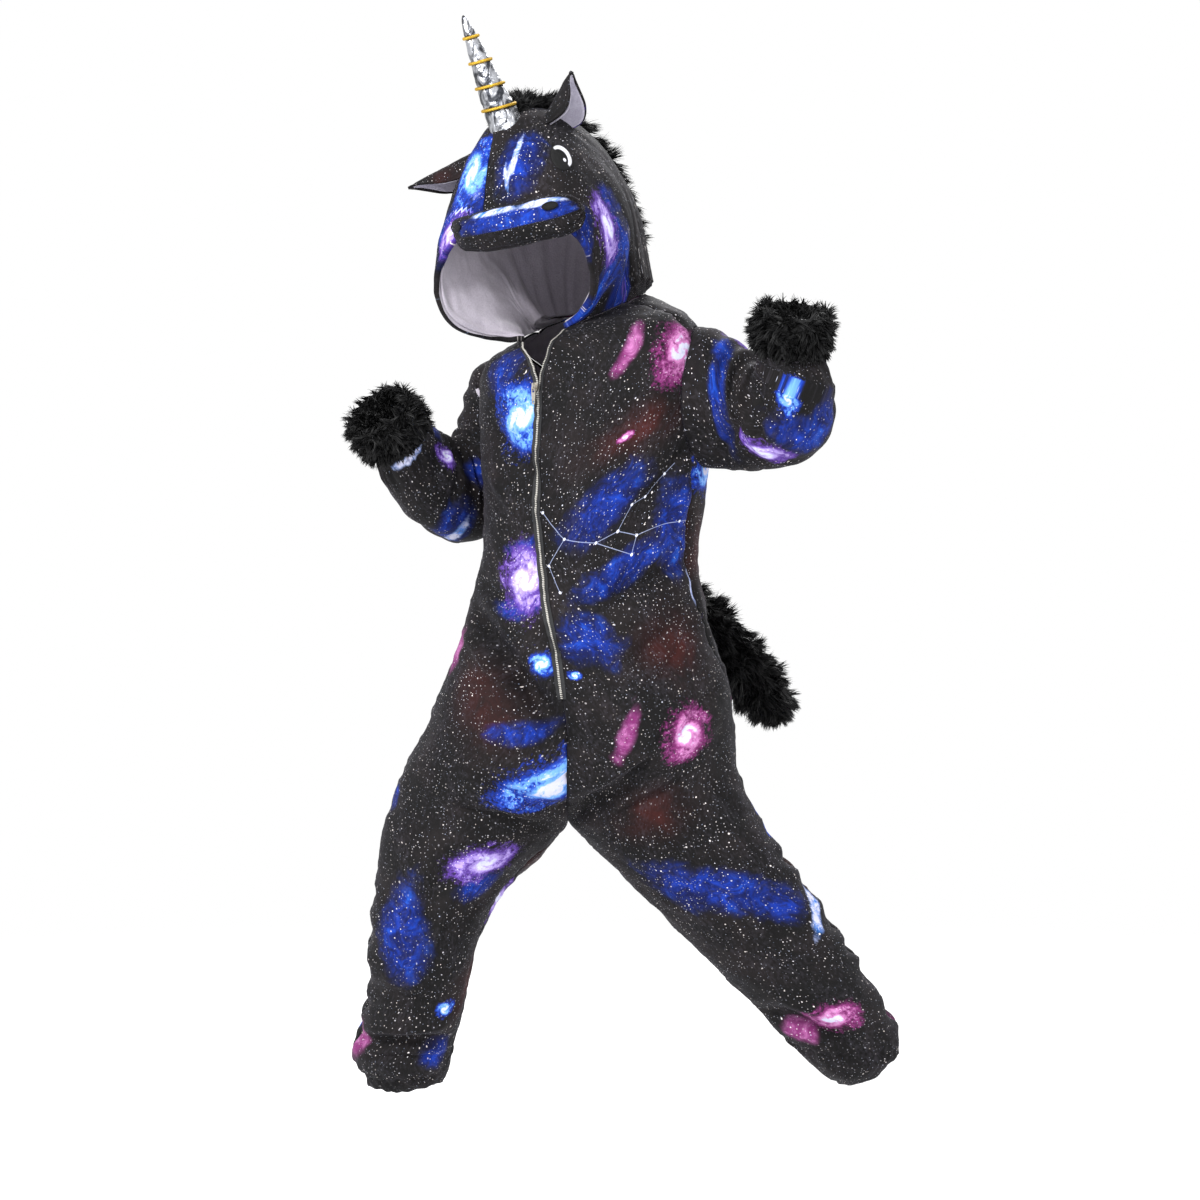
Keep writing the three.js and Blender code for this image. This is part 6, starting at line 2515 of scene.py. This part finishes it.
@dataclass
class Eyes:
    """The embroidered eyes on the hood's two halves."""

    hood: Hood
    row: float = 4.5
    column: float = 2.7
    long: float = 0.95
    high: float = 0.4

    def dress_eyes(self) -> None:
        """Make both eyes."""
        share, angle = disc(0.01, 26, 72)
        for side in Side:
            u = self.row + self.long * share * np.cos(angle)
            v = self.column + self.high * share * np.sin(angle)
            base, out = self.read(side, u, v)
            top = base + out * (0.5 + 1.0 * np.sqrt(np.clip(1 - share**4, 0, 1)))[..., None]
            x, y = share * np.cos(angle), share * np.sin(angle)
            outer_way = 0.95 * x + 0.3 * y
            bow = rise(np.hypot(x + 0.21, y + 0.07), 0.68, 0.74)
            bow = bow * (1 - rise(np.hypot(x, y), 0.86, 0.9)) * rise(outer_way, -0.1, 0.05)
            glint = 1 - rise(np.hypot(x + 0.1, y - 0.3), 0.11, 0.15)
            pale = np.clip(bow + glint, 0, 1).ravel()
            solid = wall(top, base - out * 0.5, True)
            solid = both_faces(solid, paired(u * 11, v * 28), {"along": pale})
            node = f"eye_{side.word}"
            dress_plain(f"{node}_patch", solid, SatinStitch, "embroidery", node)

    def read(self, side: Side, u: Array, v: Array) -> tuple[Array, Array]:
        """Read the hood's surface between its points.

        Args:
            side: The side.
            u: Arches, in the hood's own places.
            v: Columns, in the hood's own columns.

        Returns:
            Points and normals.
        """
        rows = np.interp(u, self.hood.places, np.arange(len(self.hood.places)))
        cols = np.interp(v, self.hood.columns, np.arange(len(self.hood.columns)))
        i, j = rows.astype(int), cols.astype(int)
        spot = (i, (rows - i)[..., None]), (j, j + 1, (cols - j)[..., None])
        return blended(self.hood.grids[side], *spot), unit(blended(self.hood.normals[side], *spot))


@dataclass
class Ears:
    """Leaf-shaped, cupped ears: the left one stands and the right one droops."""

    hood: Hood
    lining_scale: float = 0.93
    shape: Table = Table("along width cup", [
        [-0.12, 0.32, 0.506], [0.12, 0.42, 0.87], [0.35, 0.45, 1], [0.6, 0.4, 0.79],
        [0.82, 0.26, 0.334], [0.95, 0.12, 0.071], [1, 0.04, 0.008],
    ])

    def grid(self, side: Side, depth: float, scale: float) -> Array:
        """Lay out an ear.

        Args:
            side: The side.
            depth: How far into its hollow the layer lies.
            scale: The layer's size.

        Returns:
            Points in rows and columns.
        """
        if side is Side.LEFT:
            base, point, wide = (43, -2, 130), (0.5, -0.1, 0.85), (0.55, 0.83, 0)
            length, width, cup = 64, 0.85, 36
        else:
            base, point, wide = (-52, 10, 126), (-0.86, -0.1, -0.48), (0.1, -0.93, 0.33)
            length, width, cup = 98, 0.5, 30
        point = unit(np.array(point, dtype=float))
        wide = np.array(wide, dtype=float)
        wide = unit(wide - point * (wide @ point))
        hollow = np.cross(wide, point)
        fine = curve(self.shape.rows, np.linspace(0, 6, 60))
        share = np.linspace(-1, 1, 49)[None, :, None]
        middle = self.hood.point(*base) + point * (fine[:, :1] * length * scale)
        sideways = wide * (fine[:, None, 1:2] * width * length * scale) * share
        leaf = middle[:, None] + sideways + hollow * (fine[:, None, 2:3] * cup * share**2)
        normals = grid_normals(leaf)
        return leaf + normals * np.sign(normals[20, 24] @ hollow) * depth

    def dress_ears(self) -> None:
        """Make both ears and their linings."""
        for side in Side:
            outer, inner = self.grid(side, 0, 1), self.grid(side, CLOTH, 1)
            down, across = arc_lengths(outer, 0), arc_lengths(outer, 1)
            out = unit(outer - inner)
            soft = 0.8 * Wrinkle(41, 24, 14).at(across, down)
            edge = np.minimum(across, across[:, [-1]] - across)
            soft = soft - 0.9 * np.exp(-(((edge - 5) / 2) ** 2))
            outer = outer + out * soft[..., None]
            node, flat = f"ear_{side.word}", paired(across, down)
            points = outer.reshape(-1, 3)
            fields = print_fields(node, points, np.zeros_like(points), flat)
            solid = both_faces(wall(outer, inner), flat, fields)
            piece = dress_plain(f"{node}_cloth", solid, PrintedPlush, "printed_plush", node)
            declare_sheet(piece, Held.STRETCHED, flat)
            near = self.grid(side, CLOTH + GAP, self.lining_scale)
            far = self.grid(side, CLOTH + GAP + LINING, self.lining_scale)
            down, across = arc_lengths(far, 0), arc_lengths(far, 1)
            crease = 1.2 * np.maximum(Wrinkle(43, 16, 26).at(across, down), -0.4)
            lining = wall(far - out * crease[..., None], near)
            hidden = f"{node}_lining"
            inside = dress_plain(f"{hidden}_cloth", lining, PaleFleece, "lining", hidden)
            declare_sheet(inside, Held.STRETCHED, flat * self.lining_scale)


@dataclass
class Tail:
    """A padded roll of long pile from the centre back seam."""

    blades: int = 28000
    pile: float = 26.0
    sections: Table = Table("x y z radius", [
        [62, 84, -284, 32], [88, 112, -298, 38], [118, 134, -318, 42], [152, 150, -347, 44],
        [188, 162, -383, 45], [222, 170, -420, 43], [250, 174, -453, 37], [269, 174, -479, 27],
        [279, 172, -495, 12],
    ])

    def rings(self, inset: float) -> tuple[Array, Array]:
        """Lay out the roll, drawn in from the pile's tips.

        Args:
            inset: How far it is drawn in.

        Returns:
            The rings' points and the roll's direction at each ring.
        """
        fine = curve(self.sections.rows, np.linspace(0, 8, 70))
        travel = unit(np.gradient(fine[:, :3], axis=0))
        across = unit(np.cross(travel, [0, 1, 0]))
        deep = np.cross(travel, across)
        radius = np.maximum(fine[:, 3] - inset, 2.0)[:, None, None]
        angle = circle(56)[None, :, None]
        drawn = rise(np.arange(70), 50, 69)[:, None, None]
        centre = fine[:, None, :3] - travel[:, None] * inset * drawn
        spoke = across[:, None] * np.cos(angle) + deep[:, None] * np.sin(angle)
        return centre + radius * spoke, travel

    def dress_tail(self) -> None:
        """Make the padded core and its pile."""
        rings, travel = self.rings(self.pile * 0.62)
        core = dress_plain("tail_core", loft(rings), LongPile, "fur", "tail")
        normals = grid_normals(rings, True)
        normals = normals * np.sign(normals[30, 0] @ (rings[30, 0] - rings[30].mean(axis=0)))
        roots, out, spot = scatter(rings, normals, self.blades, 101, True)
        rng = np.random.default_rng(102)
        along = travel[np.clip(spot[:, 0].astype(int), 0, 69)]
        lean = tufts(roots, 620, 103, self.pile) + 0.4 * along - HANG
        ends = 1 - 0.45 * rise(spot[:, 0], 52, 69)
        length = self.pile * rng.uniform(0.6, 1.1, len(roots)) * ends
        blades = Pile(width=1.6, bend=0.4, seed=104).grow(roots, out, lean, length)
        dress_plain("tail_pile", blades, LongPile, "fur")


@dataclass
class Zip:
    """The front zip: two tapes with their teeth, above and below the slider."""

    body: Body
    end: float = -450.0
    width: float = 6.0
    thickness: float = 1.5
    lift: float = 0.6
    pitch: float = 2.3

    def dress_zip(self) -> None:
        """Make both tapes, and dress the slider and its tab."""
        rows = int(np.sum(self.body.pivots[: self.body.crotch] > self.end))
        for side in Side:
            grid = self.body.grids[side][:rows, :3]
            normals = self.body.plain_normals[side][:rows, 0]
            inward = unit(grid[:, 1] - grid[:, 0])
            start = grid[:, 0] + [side.value * SEAM, 0, 0]
            share = np.linspace(0, 1, 5)[None, :, None] * self.width
            top = start[:, None] + inward[:, None] * share + normals[:, None] * (self.lift + 0.5)
            under = start[:, None] + inward[:, None] * share + normals[:, None] * (self.lift - 0.6)
            tape = wall(top, under)
            tape.fields = {"along": np.zeros(len(tape.points))}
            self.add_teeth(tape, side, start, inward, normals)
            node = f"zip_{side.word}"
            piece = dress_plain(f"{node}_tape", tape, ZipTape, "zip_tape", node)
            for polygon in piece.data.polygons:
                polygon.use_smooth = False
        for node in ("zip_slider", "zip_pull"):
            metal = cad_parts[node]
            metal.data.materials.clear()
            metal.data.materials.append(finish(PlatedZinc))

    def add_teeth(self, tape: Solid, side: Side, start: Array, inward: Array,
                  normals: Array) -> None:
        """Set the teeth along a tape's edge.

        Args:
            tape: The tape, which the teeth are added to.
            side: The side.
            start: The tape's edge.
            inward: Away from the edge, along the cloth.
            normals: Out of the cloth.
        """
        length = lengths_along(start)
        shift = 0 if side is Side.LEFT else self.pitch / 2
        spots = np.arange(self.pitch + shift, length[-1], self.pitch)
        read = lambda values: np.stack([np.interp(spots, length, values[:, k]) for k in range(3)], 1)
        base, across, out = read(start), unit(read(inward)), unit(read(normals))
        down = np.cross(across, out)
        corners = [(a, b, c) for a in (-0.7, 1.2) for b in (-0.62, 0.62) for c in (0.2, 1.7)]
        count = len(tape.points)
        points = [base + across * a + down * b + out * (self.lift + c - 0.4) for a, b, c in corners]
        cube = ((0, 1, 3, 2), (4, 6, 7, 5), (0, 4, 5, 1), (2, 3, 7, 6), (0, 2, 6, 4), (1, 5, 7, 3))
        total = len(spots)
        flip = np.dot(np.cross(across[0], down[0]), out[0]) < 0
        for tooth in range(total):
            for quad in cube:
                face = [count + corner * total + tooth for corner in quad]
                tape.faces.append(face[::-1] if flip else face)
        tape.points = np.concatenate([tape.points, *points])
        tape.fields["along"] = np.concatenate([tape.fields["along"], np.ones(8 * total)])
        tape.slots = None


# Studio


@dataclass
class Studio:
    """The camera, floor and soft lights."""

    distance: float = 4.0
    across: float = 0.03125
    height: float = -0.325
    field_width: float = 1.5
    floor: float = -0.985
    middle: tuple[float, float, float] = (0.03, 0.0, -0.35)

    def set_camera(self) -> None:
        """Put the camera where the photograph was taken from."""
        camera = bpy.data.cameras.new("camera")
        camera.sensor_fit = "HORIZONTAL"
        camera.sensor_width = 36.0
        camera.lens = 36.0 * self.distance / self.field_width
        camera.clip_end = 60.0
        viewer = bpy.data.objects.new("camera", camera)
        viewer.location = (self.across, -self.distance, self.height)
        viewer.rotation_euler = (math.radians(90), 0, 0)
        bpy.context.scene.collection.objects.link(viewer)
        bpy.context.scene.camera = viewer

    def set_floor(self) -> None:
        """Lay the pale floor."""
        work = bmesh.new()
        bmesh.ops.create_circle(work, cap_ends=True, segments=96, radius=3.0)
        mesh = bpy.data.meshes.new("floor")
        work.to_mesh(mesh)
        work.free()
        floor = bpy.data.objects.new("floor", mesh)
        floor.location = (self.middle[0], 0, self.floor)
        mesh.materials.append(finish(Paper))
        bpy.context.scene.collection.objects.link(floor)

    def add_light(self, name: str, place: Sequence[float], size: float, power: float) -> None:
        """Hang one soft light that faces the garment's middle.

        Args:
            name: The light's name.
            place: Where it hangs.
            size: Its width.
            power: Its power in watts.
        """
        lamp = bpy.data.lights.new(name, "AREA")
        lamp.shape, lamp.size, lamp.energy = "DISK", size, power
        holder = bpy.data.objects.new(name, lamp)
        holder.location = place
        aim = Vector(self.middle) - Vector(place)
        holder.rotation_euler = aim.to_track_quat("-Z", "Y").to_euler()
        bpy.context.scene.collection.objects.link(holder)

    def set_lights(self) -> None:
        """Light the garment softly from the front, with a bright backdrop."""
        world = bpy.data.worlds.new("studio")
        world.use_nodes = True
        sky = world.node_tree.nodes["Background"]
        sky.inputs["Color"].default_value = (1.0, 1.0, 1.0, 1.0)
        sky.inputs["Strength"].default_value = 1.0
        bpy.context.scene.world = world
        bpy.context.scene.view_settings.view_transform = "Standard"
        self.add_light("key", (-1.6, -2.6, 1.6), 1.1, 150.0)
        self.add_light("fill", (2.0, -2.4, 0.4), 1.8, 30.0)
        self.add_light("rim", (0.6, 2.2, 1.8), 1.2, 60.0)


def main() -> None:
    """Build every piece in order and write down the size."""
    logging.basicConfig(level=logging.INFO, format="%(name)s %(message)s")
    studio = Studio()
    studio.set_camera()
    studio.set_floor()
    studio.set_lights()
    cuffs = {
        Side.LEFT: Cuff(
            Side.LEFT, np.array([256.0, -194, -31]), np.array([0.1, -0.33, 0.94]), 43, 21),
        Side.RIGHT: Cuff(
            Side.RIGHT, np.array([-217.0, -22, -126]), np.array([-0.5, -0.57, 0.65]), 41, 22),
    }
    body = Body()
    body.build()
    sleeves = Sleeves()
    sleeves.build(cuffs)
    body.dress_panels({side: sleeves.core(side) for side in Side})
    sleeves.dress_sleeves(body.core(GAP))
    for cuff in cuffs.values():
        cuff.dress_cuff()
    hood = Hood()
    hood.build(body)
    hood.dress_hood(body)
    Eyes(hood).dress_eyes()
    Muzzle(hood).dress_muzzle()
    Ears(hood).dress_ears()
    Horn(hood).dress_horn()
    Mane(hood).dress_mane()
    Tail().dress_tail()
    Zip(body).dress_zip()
    bpy.context.view_layer.update()


if __name__ == "__main__":
    main()
